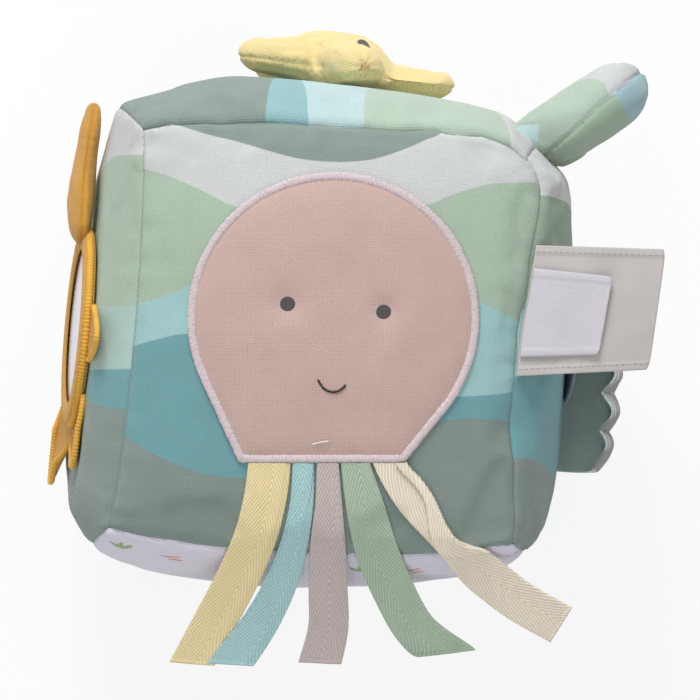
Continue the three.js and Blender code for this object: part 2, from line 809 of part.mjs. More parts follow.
const starfishArm = stuffedLimb({
  from: starfishBodyRadius / 4,
  to: starfishReach,
  rootWidth: starfishArmRootWidth,
  tipWidth: starfishArmTipWidth,
  rootThickness: starfishArmRootThickness,
  tipThickness: starfishArmTipThickness,
  lift: starfishArmRootThickness / 2 - starfishBelly,
  rise: starfishArmRise,
});
const bodyCutter = toSolid(starfishBodyGeometry(touchGap));
const trimmedArm = fromSolid(toSolid(starfishArm).subtract(bodyCutter));
for (let arm = 0; arm < starfishArmCount; arm += 1) {
  const piece = addPiece(starfish, `starfish_arm_${arm + 1}`, trimmedArm.clone(), colours.starfish);
  const turn = starfishTurn * degrees + (2 * Math.PI * arm) / starfishArmCount;
  piece.rotation.y = turn - Math.PI / 2;
}

// Starfish mirror, sewn down by its near lobe
block.add(mirror);

function roundPlate(radius, front, back) {
  const plane = (height) => (share, turn) => (
    new THREE.Vector3(radius * share * Math.cos(turn), radius * share * Math.sin(turn), height)
  );
  return discGeometry(mirrorSpokes, 1, plane(front), plane(back));
}

const backingPlate = roundPlate(mirrorRimRadius, backingFront, backingBack);
const filmPlate = roundPlate(mirrorFilmRadius, -touchGap, filmBack);
addPiece(mirror, 'mirror_backing', backingPlate, colours.mirrorFabric);
addPiece(mirror, 'mirror_film', filmPlate, colours.mirrorFilm, 0.08, 0.9);

const frameShares = [[0, 0], [0, 0.6], [0.3, 1], [0.7, 1], [1, 0.5], [1, 0]];
const frameWidth = mirrorRimRadius - mirrorOpeningRadius;
addPiece(mirror, 'mirror_frame', loopGeometry(mirrorSpokes, (step) => {
  const turn = (2 * Math.PI * step) / mirrorSpokes;
  return frameShares.map(([across, up]) => {
    const radius = mirrorOpeningRadius + across * frameWidth;
    return new THREE.Vector3(radius * Math.cos(turn), radius * Math.sin(turn), up * mirrorFrameThickness);
  });
}), colours.mirrorFabric);

// Flat lobes round the mirror: the turn from straight up towards the octopus in degrees, and the
// length past the rim as a share of the rim's radius
const lobeShares = {
  mirror_lobe_near: { turn: 88, lengthShare: 0.85 },
  mirror_lobe_low_front: { turn: 158, lengthShare: 0.62 },
  mirror_lobe_low_back: { turn: 212, lengthShare: 0.95 },
  mirror_lobe_back: { turn: 290, lengthShare: 0.85 },
};

function lobeGeometry(lengthShare, front, back) {
  const start = mirrorRimRadius + touchGap;
  const plane = (height) => (u, v) => {
    const across = (2 * v - 1) * (lobeRootWidth / 2) * Math.sqrt(1 - lobeCloseShare * u * u);
    const rim = Math.sqrt(start * start - across * across);
    const drawn = 1 - lobePointShare * (2 * v - 1) * (2 * v - 1);
    return new THREE.Vector3(rim + u * lengthShare * mirrorRimRadius * drawn, across, height);
  };
  return sheetGeometry(evenShares(lobeSteps), evenShares(lobeSteps), plane(front), plane(back));
}

for (const [name, { turn, lengthShare }] of Object.entries(lobeShares)) {
  const front = backingBack + lobeThickness - lobeDepth;
  const geometry = lobeGeometry(lengthShare, front, front - lobeThickness);
  const lobe = addPiece(mirror, name, geometry, colours.mirrorFabric);
  lobe.rotation.z = Math.PI / 2 - turn * degrees;
}

const mirrorArmShape = stuffedLimb({
  from: mirrorOpeningRadius,
  to: mirrorArmReach,
  rootWidth: mirrorArmRootWidth,
  tipWidth: mirrorArmTipWidth,
  rootThickness: mirrorArmRootThickness,
  tipThickness: mirrorArmTipThickness,
  lift: 0,
  rise: 0,
});
mirrorArmShape.rotateX(Math.PI / 2);
const rimCutter = new THREE.CylinderGeometry(
  mirrorRimRadius + touchGap,
  mirrorRimRadius + touchGap,
  overrun,
  mirrorSpokes,
);
rimCutter.rotateX(Math.PI / 2);
const armTurn = Math.PI / 2 - mirrorArmTurn * degrees;
const mirrorArm = addPiece(
  mirror,
  'mirror_stuffed_arm',
  fromSolid(toSolid(mirrorArmShape).subtract(toSolid(rimCutter))),
  colours.mirrorFabric,
);
mirrorArm.rotation.z = armTurn;
mirrorArm.position.z = backingBack + mirrorArmLift;

// Shell flap: local +X from its sewn edge to its scalloped edge, +Z outwards, +Y down the block
const flap = new THREE.Group();
const flapRoot = onPanel(panels.right, flapY, frontSeamHeight - flapHingeBelowFront);
flap.position.copy(flapRoot);
flap.position.x += touchGap + flapSeat;
const flapAngle = flapOpenAngle * degrees;
flap.quaternion.setFromRotationMatrix(new THREE.Matrix4().makeBasis(
  new THREE.Vector3(Math.sin(flapAngle), 0, Math.cos(flapAngle)),
  new THREE.Vector3(0, -1, 0),
  new THREE.Vector3(Math.cos(flapAngle), 0, -Math.sin(flapAngle)),
));
block.add(flap);

function flapSurface(height) {
  return (u, v) => {
    const side = 2 * v - 1;
    const spread = Math.sin((Math.PI / 2) * Math.min(1, u * flapSpreadShare));
    const halfWidth = THREE.MathUtils.lerp(flapRootHalfWidth, flapHalfWidth, spread);
    const bulge = 1 - flapEndShare * side * side;
    const scallop = flapScallopDepth * Math.abs(Math.cos((Math.PI / 2) * flapScallops * side));
    const along = u * (flapLength * bulge - flapScallopDepth + scallop * u);
    const crown = flapCup * (1 - side * side) * Math.sin((Math.PI / 2) * u);
    return new THREE.Vector3(along, side * halfWidth * (1 - flapNipShare * u * u), height + crown);
  };
}

let flapLevel = 0;
for (const [name, thickness, color] of [
  ['flap_lining', flapFabricThickness, colours.flapLining],
  ['flap_crinkle_film', flapFilmThickness, colours.crinkle],
  ['flap_outer', flapFabricThickness, colours.flapOuter],
]) {
  addPiece(flap, name, sheetGeometry(
    evenShares(flapSteps),
    evenShares(flapScallops * flapScallopSteps),
    flapSurface(flapLevel + thickness),
    flapSurface(flapLevel),
  ), color);
  flapLevel += thickness + touchGap;
}

// Round patch that the flap covers
function patchSurface(lift) {
  return (share, turn) => {
    const y = patchY + patchRadius * share * Math.cos(turn);
    const z = frontSeamHeight - patchBelowFront + patchRadius * share * Math.sin(turn);
    const point = onPanel(panels.right, y, z);
    point.x += lift;
    return point;
  };
}

addPiece(block, 'flap_patch', discGeometry(
  anchorSpokes,
  2,
  patchSurface(touchGap + patchThickness),
  patchSurface(touchGap),
), colours.patch);

// Labels: sheets sewn into the front right seam, each falling a little towards its free end
function labelGeometry(length, height, y, start, lower, upper) {
  const place = (level) => (u, v) => {
    const at = onPanel(panels.front, blockWidth, y + (v - 1 / 2) * height);
    const drop = Math.tan(labelDrop * degrees) * length * u;
    return new THREE.Vector3(at.x + start + length * u, at.y, at.z + labelLift + level - drop);
  };
  return sheetGeometry(evenShares(labelSteps), evenShares(labelSteps), place(upper), place(lower));
}

const careTop = careLabelThickness / 2;
const wovenBottom = careTop + touchGap;
addPiece(block, 'care_label', labelGeometry(
  careLabelLength,
  careLabelHeight,
  careLabelY,
  labelSeamGap,
  -careTop,
  careTop,
), colours.careLabel);
addPiece(block, 'woven_label', labelGeometry(
  wovenLabelLength,
  wovenLabelHeight,
  wovenLabelY,
  labelSeamGap + wovenLabelSetBack,
  wovenBottom,
  wovenBottom + wovenLabelThickness,
), colours.wovenLabel);

// Grab tab: pinched where it is sewn in, swelling to a round end
const tab = new THREE.Group();
const tabShare = tabBelowFront / blockDepth;
tab.position.copy(seamPoint('frontTopRight', 'backTopRight', tabShare));
tab.rotation.z = tabAngle * degrees;
block.add(tab);

function tabSurface(share, turn) {
  const root = tabPinchShare + (1 - tabPinchShare) * THREE.MathUtils.smoothstep(share, 0, tabSwellShare);
  const end = Math.max(0, (share - tabRoundShare) / (1 - tabRoundShare));
  const open = share === 0 ? 0 : 1;
  const round = Math.sqrt(Math.max(0, 1 - end * end)) * open;
  return new THREE.Vector3(
    tabSeamGap + share * tabLength,
    tabHalfThickness * root * round * Math.cos(turn),
    tabHalfWidth * Math.max(root, tabRootWidthShare) * round * Math.sin(turn),
  );
}

addPiece(tab, 'grab_tab', limbGeometry(tabStationShares, limbSpokes, tabSurface), colours.tab);

export default block;
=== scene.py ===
"""Stuffed fabric activity block: sewn jersey cover, octopus with tape legs, starfish, mirror, flap, labels, tab.

Sizes are in millimetres in the block's own frame: +Z out of the octopus panel, +Y towards the starfish,
+X towards the labels. MM turns them into metres when a piece is finished.
"""
import logging
import math
from dataclasses import dataclass, field
from enum import Enum
from typing import Callable, Optional, Sequence

import bmesh
import bpy
from mathutils import Matrix, Vector, noise
from mathutils.bvhtree import BVHTree
from mathutils.kdtree import KDTree


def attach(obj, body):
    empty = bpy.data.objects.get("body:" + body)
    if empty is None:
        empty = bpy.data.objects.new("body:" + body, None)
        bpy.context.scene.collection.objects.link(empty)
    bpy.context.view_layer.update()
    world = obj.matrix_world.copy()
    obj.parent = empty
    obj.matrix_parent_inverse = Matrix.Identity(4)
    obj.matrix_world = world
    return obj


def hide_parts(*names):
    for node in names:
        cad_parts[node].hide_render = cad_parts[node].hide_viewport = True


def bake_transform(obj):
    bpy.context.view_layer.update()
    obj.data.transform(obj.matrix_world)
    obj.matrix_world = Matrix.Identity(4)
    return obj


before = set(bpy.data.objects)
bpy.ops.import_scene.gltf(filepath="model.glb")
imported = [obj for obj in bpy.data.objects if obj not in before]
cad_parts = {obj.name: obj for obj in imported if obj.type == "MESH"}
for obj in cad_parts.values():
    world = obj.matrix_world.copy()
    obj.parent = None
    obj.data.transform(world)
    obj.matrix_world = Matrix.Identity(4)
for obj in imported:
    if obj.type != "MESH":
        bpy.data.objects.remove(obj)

MM = 0.001
TURN = 2 * math.pi
RIGHT = Vector((1, 0, 0))
UP = Vector((0, 0, 1))
LOG = logging.getLogger("fabric_block")

Mesh = bmesh.types.BMesh
Piece = bpy.types.Object
Socket = bpy.types.NodeSocket
Place = Callable[[float, float], Vector]
Plan = Callable[[float, float], tuple[float, float]]
Tone = tuple[float, float, float]
Line = tuple[tuple[float, float], ...]


def smoothstep(value: float, low: float, high: float) -> float:
    """Eased step: 0 as far as low, and 1 from high on."""
    share = min(1.0, max(0.0, (value - low) / (high - low)))
    return share * share * (3 - 2 * share)


def lerp(first: float, second: float, share: float) -> float:
    """Value a share of the way from first to second."""
    return first + (second - first) * share


def bell(away: float, reach: float) -> float:
    """Rounded bump: 1 at 0, fading over a reach to both sides."""
    return math.exp(-((away / reach) ** 2))


def dome(share: float) -> float:
    """Height of a half circle at a share of its radius."""
    return math.sqrt(max(0.0, 1 - share * share))


def rounded(value: float, power: float) -> float:
    """Value raised to a power, with its sign kept."""
    return math.copysign(abs(value) ** power, value)


def polar(turn: float, wide: float, tall: Optional[float] = None) -> tuple[float, float]:
    """Place on a circle or an ellipse, at a share of a whole turn."""
    return wide * math.cos(TURN * turn), (wide if tall is None else tall) * math.sin(TURN * turn)


def ripple(*place: float) -> float:
    """Smooth noise from -1 to 1 at a place of up to three numbers."""
    return noise.noise(Vector((*place, 0.0, 0.0, 0.0)[:3]))


def spline(points: Sequence[Sequence[float]], share: float) -> Vector:
    """Smooth course through given points.

    Args:
        points: the points, all of one length.
        share: how far along, from 0 to 1.

    Returns:
        The point there.
    """
    last = len(points) - 1
    place = min(max(share, 0.0), 1.0) * last
    start = min(int(place), last - 1)
    t = place - start
    a, b, c, d = (Vector(points[min(max(start + i, 0), last)]) for i in (-1, 0, 1, 2))
    return (2 * b + (c - a) * t + (2 * a - 5 * b + 4 * c - d) * t * t + (3 * b - a - 3 * c + d) * t ** 3) / 2


def line_height(line: Line, along: float) -> float:
    """Height of a smooth line over its run.

    Args:
        line: places on the line, with the first number rising.
        along: where to read it.

    Returns:
        The line's second number there.
    """
    if along <= line[0][0]:
        return line[0][1]
    for index, (low, high) in enumerate(zip(line, line[1:])):
        if along <= high[0]:
            share = (along - low[0]) / (high[0] - low[0])
            return spline(line, (index + share) / (len(line) - 1)).y
    return line[-1][1]


def run_lengths(path: Sequence[Vector]) -> list[float]:
    """How far along a path each of its points lies.

    Args:
        path: the path's points.

    Returns:
        The length up to each point, from 0.
    """
    runs = [0.0]
    for low, high in zip(path, path[1:]):
        runs.append(runs[-1] + (high - low).length)
    return runs


def even_path(points: Sequence[Vector], spacing: float, closed: bool = False) -> list[Vector]:
    """A path with its points an even distance apart.

    Args:
        points: the rough path.
        spacing: about how far apart the new points are.
        closed: whether the path is a ring.

    Returns:
        The new points.
    """
    loop = [*points, points[0]] if closed else list(points)
    runs = run_lengths(loop)
    count = max(2, round(runs[-1] / spacing))
    path = []
    index = 0
    for step in range(count if closed else count + 1):
        target = runs[-1] * step / count
        while index < len(runs) - 2 and runs[index + 1] < target:
            index += 1
        span = max(runs[index + 1] - runs[index], 1e-9)
        path.append(loop[index].lerp(loop[index + 1], (target - runs[index]) / span))
    return path


def sewn_path(line: Line, steps: int, spacing: float) -> list[Vector]:
    """An even path along a smooth line in the picture's plane."""
    return even_path([spline(line, step / steps).to_3d() for step in range(steps + 1)], spacing)


# Form


class Face(Enum):
    """The block's six sides, by where they face in the picture."""

    FRONT = "front"
    BACK = "back"
    LEFT = "left"
    RIGHT = "right"
    TOP = "top"
    BOTTOM = "bottom"


@dataclass(frozen=True)
class PanelShape:
    """One sewn panel: its corners in order, its outward axis and how it swells."""

    corners: tuple[str, str, str, str]
    out: tuple[float, float, float]
    crown: float
    axes: tuple[int, int]
    skew: float = 0.0
    fullness: float = 0.5
    low_ease: float = 1.0
    ease_reach: float = 0.3


@dataclass
class MirrorPlace:
    """Where the mirror leans: +X towards the octopus, +Y up the block, +Z out of the mirror."""

    x: float = -78.2
    y: float = 2.9
    z: float = 90.0
    tilt: float = 9.5
    lean: float = 5.0
    film_radius: float = 26.0
    opening_radius: float = 24.0
    rim_radius: float = 31.0
    backing_front: float = -1.2
    backing_back: float = -3.0
    lobe_back: float = -3.1
    seat: float = 0.3

    def matrix(self) -> Matrix:
        """The mirror's own frame, in millimetres.

        Returns:
            The matrix out of that frame.
        """
        turn = Matrix.Rotation(-math.radians(self.lean), 4, "Z")
        lay = Matrix.Rotation(-math.radians(90 - self.tilt), 4, "Y")
        return Matrix.Translation((self.x, self.y, self.z)) @ turn @ lay


@dataclass
class BlockForm:
    """The cover's shape: bowed seams between eight corners, and a crown on each panel."""

    width: float = 119.0
    height: float = 118.0
    depth: float = 127.0
    back_seam: float = 10.0
    seam_fullness: float = 0.75
    starfish_x: float = 4.3
    starfish_z: float = 64.0
    hollow: float = 4.5
    hollow_spread: float = 28.0
    press_radius: float = 52.0
    press_reach: float = 80.0
    solve_rounds: int = 30
    arc_steps: int = 60
    mirror: MirrorPlace = field(default_factory=MirrorPlace)

    CORNER_SHARES = {
        "front_low_left": (-0.545, -0.488), "front_low_right": (0.476, -0.531),
        "front_high_right": (0.508, 0.447), "front_high_left": (-0.46, 0.523),
        "back_low_left": (-0.51, -0.49), "back_low_right": (0.49, -0.51),
        "back_high_right": (0.51, 0.49), "back_high_left": (-0.49, 0.51),
    }
    BOW_SHARES = {
        ("front_low_left", "front_low_right"): (0, -0.044, 0.022),
        ("front_high_left", "front_high_right"): (0, 0.046, 0.022),
        ("front_low_left", "front_high_left"): (0.023, 0, 0.022),
        ("front_low_right", "front_high_right"): (0, 0, 0.022),
        ("back_low_left", "back_low_right"): (0, -0.034, -0.024),
        ("back_high_left", "back_high_right"): (0, 0.034, -0.024),
        ("back_low_left", "back_high_left"): (-0.034, 0, -0.024),
        ("back_low_right", "back_high_right"): (0.034, 0, -0.024),
        ("back_low_left", "front_low_left"): (-0.084, -0.066, 0),
        ("back_low_right", "front_low_right"): (0.042, -0.044, 0),
        ("back_high_right", "front_high_right"): (0.046, 0.046, 0),
        ("back_high_left", "front_high_left"): (-0.078, 0.09, 0),
    }
    SEAM_SHIFTS = {
        ("front_low_right", "front_high_right"): (0, ((0, 0), (0.15, -0.7), (0.3, -2.2), (0.42, -1.7), (0.54, -0.9),
                                                      (0.65, 1.0), (0.81, 3.3), (0.88, 4.4), (0.93, 4.3), (1, 0))),
        ("front_high_left", "front_high_right"): (1, ((0, 0), (0.3, 0), (0.6, 0.5), (0.8, 2.0), (0.9, 3.0),
                                                      (0.95, 2.3), (1, 0))),
    }
    PANELS = {
        Face.FRONT: PanelShape(("front_low_left", "front_low_right", "front_high_right", "front_high_left"),
                               (0, 0, 1), 8.0, (0, 1)),
        Face.BACK: PanelShape(("back_low_left", "back_high_left", "back_high_right", "back_low_right"),
                              (0, 0, -1), 4.5, (1, 0)),
        Face.LEFT: PanelShape(("back_low_left", "front_low_left", "front_high_left", "back_high_left"),
                              (-1, 0, 0), 14.0, (2, 1), -0.6, 0.8),
        Face.RIGHT: PanelShape(("back_low_right", "back_high_right", "front_high_right", "front_low_right"),
                               (1, 0, 0), 10.5, (1, 2)),
        Face.TOP: PanelShape(("back_high_left", "front_high_left", "front_high_right", "back_high_right"),
                             (0, 1, 0), 10.0, (2, 0), -0.2, low_ease=0.35),
        Face.BOTTOM: PanelShape(("back_low_left", "back_low_right", "front_low_right", "front_low_left"),
                                (0, -1, 0), 7.4, (0, 2)),
    }

    def __post_init__(self) -> None:
        """Works out the corners and the mirror's inverse frame once."""
        self.to_mirror = self.mirror.matrix().inverted()
        self.corner = {}
        for name, (across, up) in self.CORNER_SHARES.items():
            z = self.back_seam + (self.depth if name.startswith("front") else 0)
            self.corner[name] = Vector((across * self.width, up * self.height, z))

    def seam(self, start: str, end: str, share: float) -> Vector:
        """Point on a seam.

        Args:
            start: the corner it runs from.
            end: the corner it runs to.
            share: how far along, from 0 to 1.

        Returns:
            The point, in millimetres.
        """
        bow = self.BOW_SHARES[(start, end)]
        swell = (4 * share * (1 - share)) ** self.seam_fullness if 0 < share < 1 else 0.0
        reach = Vector((bow[0] * self.width, bow[1] * self.height, bow[2] * self.depth))
        point = self.corner[start].lerp(self.corner[end], share) + reach * swell
        if (start, end) in self.SEAM_SHIFTS:
            axis, line = self.SEAM_SHIFTS[(start, end)]
            point[axis] += line_height(line, share)
        return point

    def edge(self, start: str, end: str, share: float) -> Vector:
        """Point on a seam walked either way."""
        forward = (start, end) in self.BOW_SHARES
        return self.seam(start, end, share) if forward else self.seam(end, start, 1 - share)

    def drawn_in(self, face: Face, point: Vector) -> float:
        """How far the starfish or the mirror presses a panel in.

        Args:
            face: the panel.
            point: a point on it.

        Returns:
            The depth, in millimetres.
        """
        if face is Face.TOP:
            square = (point.x - self.starfish_x) ** 2 + (point.z - self.starfish_z) ** 2
            return self.hollow * math.exp(-square / (2 * self.hollow_spread ** 2))
        if face is Face.LEFT:
            local = self.to_mirror @ point
            fade = smoothstep(math.hypot(local.x, local.y), self.press_radius, self.press_reach)
            proud = max(0.0, local.z - (self.mirror.lobe_back - self.mirror.seat))
            return proud * (1 - fade) / math.cos(math.radians(self.mirror.tilt))
        return 0.0

    def point(self, face: Face, u: float, v: float) -> Vector:
        """Point on a panel's outside.

        Args:
            face: the panel.
            u: share along the side from its first corner to its second.
            v: share along the side from its first corner to its last.

        Returns:
            The point, in millimetres.
        """
        shape = self.PANELS[face]
        a, b, c, d = shape.corners
        near = self.edge(a, b, u).lerp(self.edge(d, c, u), v)
        side = self.edge(a, d, v).lerp(self.edge(b, c, v), u)
        flat = self.corner[a].lerp(self.corner[b], u).lerp(self.corner[d].lerp(self.corner[c], u), v)
        point = near + side - flat
        profile = max(0.0, 16 * u * (1 - u) * v * (1 - v)) ** shape.fullness
        out = Vector(shape.out)
        ease = lerp(shape.low_ease, 1.0, smoothstep(v, 0.0, shape.ease_reach))
        point += out * (shape.crown * ease * profile * (1 + shape.skew * (2 * v - 1)))
        point -= out * (self.drawn_in(face, point) * min(1.0, 2 * profile))
        point.z = max(point.z, 0.0)
        return point

    def over(self, face: Face, first: float, second: float) -> Vector:
        """A panel's point over a place in its own plane.

        Args:
            face: the panel.
            first: the place along its first axis.
            second: the place along its second axis.

        Returns:
            The point, in millimetres.
        """
        shape = self.PANELS[face]
        a, b, _, d = (self.corner[name] for name in shape.corners)
        across, along = shape.axes
        u = v = 0.5
        for _ in range(self.solve_rounds):
            point = self.point(face, u, v)
            u = min(1.0, max(0.0, u + (first - point[across]) / (b[across] - a[across])))
            v = min(1.0, max(0.0, v + (second - point[along]) / (d[along] - a[along])))
        return self.point(face, u, v)

    def arcs(self, face: Face) -> tuple[float, float]:
        """A panel's two lengths over its swell, along its middles.

        Args:
            face: the panel.

        Returns:
            The lengths, in millimetres.
        """
        shares = [step / self.arc_steps for step in range(self.arc_steps + 1)]
        return (run_lengths([self.point(face, share, 0.5) for share in shares])[-1],
                run_lengths([self.point(face, 0.5, share) for share in shares])[-1])


# Meshes


def shaped_grid(columns: int, rows: int, place: Place, plan: Plan, weld: float = 0.001) -> Mesh:
    """A grid laid over a surface given by two shares.

    Args:
        columns: faces along the first share.
        rows: faces along the second share.
        place: the point in millimetres at two shares from 0 to 1.
        plan: the cloth's flat place in millimetres at the shares, kept as the UV map "plan".
        weld: how close points are joined, or 0 to keep them apart.

    Returns:
        The mesh, with its faces turned outwards where it is closed.
    """
    mesh = bmesh.new()
    bmesh.ops.create_grid(mesh, x_segments=columns, y_segments=rows, size=0.5)
    layer = mesh.loops.layers.uv.new("plan")
    shares = {vert: (round((vert.co.x + 0.5) * columns) / columns, round((vert.co.y + 0.5) * rows) / rows)
              for vert in mesh.verts}
    for face in mesh.faces:
        for loop in face.loops:
            loop[layer].uv = plan(*shares[loop.vert])
    for vert, (u, v) in shares.items():
        vert.co = place(u, v)
    if weld:
        bmesh.ops.remove_doubles(mesh, verts=mesh.verts, dist=weld)
        bmesh.ops.dissolve_degenerate(mesh, dist=weld / 4, edges=mesh.edges)
        if all(len(edge.link_faces) == 2 for edge in mesh.edges):
            bmesh.ops.recalc_face_normals(mesh, faces=mesh.faces)
    return mesh


def face_out(mesh: Mesh, way: Vector) -> None:
    """Turns an open sheet's faces to the side that a direction gives.

    Args:
        mesh: the mesh.
        way: the direction.
    """
    mesh.normal_update()
    if sum(facet.normal.dot(way) for facet in mesh.faces) < 0:
        bmesh.ops.reverse_faces(mesh, faces=mesh.faces)


def join(meshes: Sequence[Mesh]) -> Mesh:
    """Puts several meshes into one.

    Args:
        meshes: the meshes, which are freed.

    Returns:
        The joined mesh.
    """
    whole = bmesh.new()
    for mesh in meshes:
        data = bpy.data.meshes.new("part")
        mesh.to_mesh(data)
        mesh.free()
        whole.from_mesh(data)
        bpy.data.meshes.remove(data)
    return whole


def tube(path: Sequence[Vector], up: Vector, half_width: Callable[[int], float], half_height: Callable[[int], float],
         sides: int = 8, closed: bool = False, jitter: float = 0.0) -> Mesh:
    """A thread, cord or ribbed edge along a path.

    Args:
        path: its middle line.
        up: the surface's outward direction.
        half_width: half its width along the surface at each step.
        half_height: half its height off the surface at each step.
        sides: faces round it.
        closed: whether the path is a ring.
        jitter: how far the ends of its threads stray, as a share of the width.

    Returns:
        The mesh, whose plan runs along it and round it in millimetres.
    """
    count = len(path)
    columns = count if closed else count - 1
    run = run_lengths([*path, path[0]])
    frames = []
    for step in range(count):
        ahead = path[(step + 1) % count] if closed or step < count - 1 else path[step]
        behind = path[step - 1] if closed or step > 0 else path[step]
        along = (ahead - behind).normalized()
        lifted = (up - along * up.dot(along)).normalized()
        frames.append((along.cross(lifted), lifted))

    def place(u: float, v: float) -> Vector:
        """A place on the thread's skin.

        Args:
            u: the first share.
            v: the second share.

        Returns:
            The point, in millimetres.
        """
        step = round(u * columns) % count
        if not closed and step in (0, count - 1):
            return path[step].copy()
        stray = 1 + jitter * ripple(step * 0.61, 3.1)
        across, out = polar(v, half_width(step) * stray, half_height(step))
        return path[step] + frames[step][0] * across + frames[step][1] * out

    girth = TURN * max(half_width(count // 2), half_height(count // 2))
    return shaped_grid(columns, sides, place, lambda u, v: (run[min(round(u * columns), count)], v * girth))


def capsule(middle: Vector, along: Vector, up: Vector, half_length: float, radius: float) -> Mesh:
    """A long bead of thread.

    Args:
        middle: its middle.
        along: the way it runs.
        up: the surface's outward direction.
        half_length: half its length.
        radius: half its thickness.

    Returns:
        The mesh.
    """
    mesh = bmesh.new()
    bmesh.ops.create_uvsphere(mesh, u_segments=6, v_segments=5, radius=1.0)
    side = along.cross(up).normalized()
    turn = Matrix((side, up.normalized(), along.normalized())).transposed().to_4x4()
    size = Matrix.Diagonal((radius, radius * 0.8, half_length, 1))
    bmesh.ops.transform(mesh, matrix=Matrix.Translation(middle) @ turn @ size, verts=mesh.verts)
    return mesh


def stitch(low: Vector, high: Vector, up: Vector, radius: float, half_length: Optional[float] = None,
           lift: float = 0.0) -> Mesh:
    """One stitch between two points.

    Args:
        low: where it starts.
        high: where it ends.
        up: the surface's outward direction.
        radius: half its thickness.
        half_length: half its length, where it isn't half the way between the points.
        lift: how far it stands off the surface.

    Returns:
        The mesh.
    """
    way = high - low
    return capsule((low + high) / 2 + up * lift, way.normalized(), up, half_length or way.length / 2, radius)


def shade_smooth(data: bpy.types.Mesh) -> None:
    """Shades a mesh smoothly."""
    data.polygons.foreach_set("use_smooth", [True] * len(data.polygons))


def to_object(mesh: Mesh, name: str) -> Piece:
    """Makes an object of a mesh in millimetres.

    Args:
        mesh: the mesh, which is freed.
        name: the object's name.

    Returns:
        The object, in metres, at the origin.
    """
    bmesh.ops.scale(mesh, vec=(MM,) * 3, verts=mesh.verts)
    data = bpy.data.meshes.new(name)
    mesh.to_mesh(data)
    mesh.free()
    shade_smooth(data)
    piece = bpy.data.objects.new(name, data)
    bpy.context.scene.collection.objects.link(piece)
    return piece


def from_data(data: bpy.types.Mesh) -> Mesh:
    """A mesh in millimetres, of data in metres.

    Args:
        data: the data, in metres.

    Returns:
        The mesh.
    """
    mesh = bmesh.new()
    mesh.from_mesh(data)
    bmesh.ops.scale(mesh, vec=(1 / MM,) * 3, verts=mesh.verts)
    return mesh


def apply_modifiers(piece: Piece) -> None:
    """Turns the piece's modifiers into its mesh, shaded smoothly.

    Args:
        piece: the piece.
    """
    graph = bpy.context.evaluated_depsgraph_get()
    data = bpy.data.meshes.new_from_object(piece.evaluated_get(graph), preserve_all_data_layers=True,
                                           depsgraph=graph)
    piece.modifiers.clear()
    piece.data = data
    shade_smooth(data)


def thicken(piece: Piece, thickness: float) -> None:
    """Gives a sheet its thickness in millimetres, inwards.

    Args:
        piece: the piece.
        thickness: its thickness, in millimetres.
    """
    solid = piece.modifiers.new("cloth_thickness", "SOLIDIFY")
    solid.thickness = thickness * MM
    solid.offset = -1.0
    apply_modifiers(piece)


def refine(piece: Piece) -> None:
    """Subdivides a piece once.

    Args:
        piece: the piece.
    """
    smooth = piece.modifiers.new("smooth", "SUBSURF")
    smooth.levels = smooth.render_levels = 1
    apply_modifiers(piece)


def swell(piece: Piece, cap: Callable[[Vector], float], pressure: float = 4.0, frames: int = 20) -> None:
    """Fills a piece by cloth simulation, as its stuffing does.

    Args:
        piece: a closed piece in metres.
        cap: how far a point may move, in millimetres, from its place in millimetres; 0 pins it.
        pressure: the filling's pressure.
        frames: how many frames the cloth settles for.
    """
    before = [vert.co.copy() for vert in piece.data.vertices]
    caps = [cap(place / MM) * MM for place in before]
    pins = piece.vertex_groups.new(name="pins")
    pins.add([index for index, reach in enumerate(caps) if reach <= 0], 1.0, "REPLACE")
    cloth = piece.modifiers.new("stuffing", "CLOTH")
    cloth.settings.use_pressure = True
    cloth.settings.uniform_pressure_force = pressure
    cloth.settings.effector_weights.gravity = 0.0
    cloth.settings.vertex_group_mass = pins.name
    cloth.settings.quality = 4
    cloth.settings.shrink_min = -0.03
    cloth.collision_settings.use_collision = False
    cloth.point_cache.frame_start = 1
    cloth.point_cache.frame_end = frames
    scene = bpy.context.scene
    for step in range(1, frames + 1):
        scene.frame_set(step)
    graph = bpy.context.evaluated_depsgraph_get()
    settled = [vert.co.copy() for vert in piece.evaluated_get(graph).data.vertices]
    piece.modifiers.remove(cloth)
    piece.vertex_groups.clear()
    scene.frame_set(1)
    for vert, start, end, reach in zip(piece.data.vertices, before, settled, caps):
        move = end - start
        if move.length > reach:
            move = move.normalized() * reach if reach > 0 else Vector()
        vert.co = start + move


def one_skin(nodes: Sequence[str], name: str, voxel: float, overlap: float = 0.0, smoothing: int = 0) -> Piece:
    """Makes one even skin round some of the part's solids.

    Args:
        nodes: the solids' names.
        name: the piece's name.
        voxel: how fine the skin is, in millimetres.
        overlap: how far each solid grows first, so that it joins its neighbours.
        smoothing: how often the skin is smoothed.

    Returns:
        The piece, in metres.
    """
    solids = []
    for node in nodes:
        solid = from_data(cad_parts[node].data)
        bmesh.ops.remove_doubles(solid, verts=solid.verts, dist=0.001)
        solid.normal_update()
        for vert, normal in [(vert, vert.normal.copy()) for vert in solid.verts]:
            vert.co += normal * overlap
        solids.append(solid)
    piece = to_object(join(solids), name)
    voxels = piece.modifiers.new("one_skin", "REMESH")
    voxels.mode = "VOXEL"
    voxels.voxel_size = voxel * MM
    if smoothing:
        piece.modifiers.new("soft", "SMOOTH").iterations = smoothing
    apply_modifiers(piece)
    piece.data.materials.clear()
    return piece


def reshape(piece: Piece, move: Callable[[Vector, Vector], Vector]) -> None:
    """Moves each point of a piece.

    Args:
        piece: the piece, in metres.
        move: the new place, in millimetres, of a place and its outward direction.
    """
    normals = [vert.normal.copy() for vert in piece.data.vertices]
    for vert, normal in zip(piece.data.vertices, normals):
        vert.co = move(vert.co / MM, normal) * MM


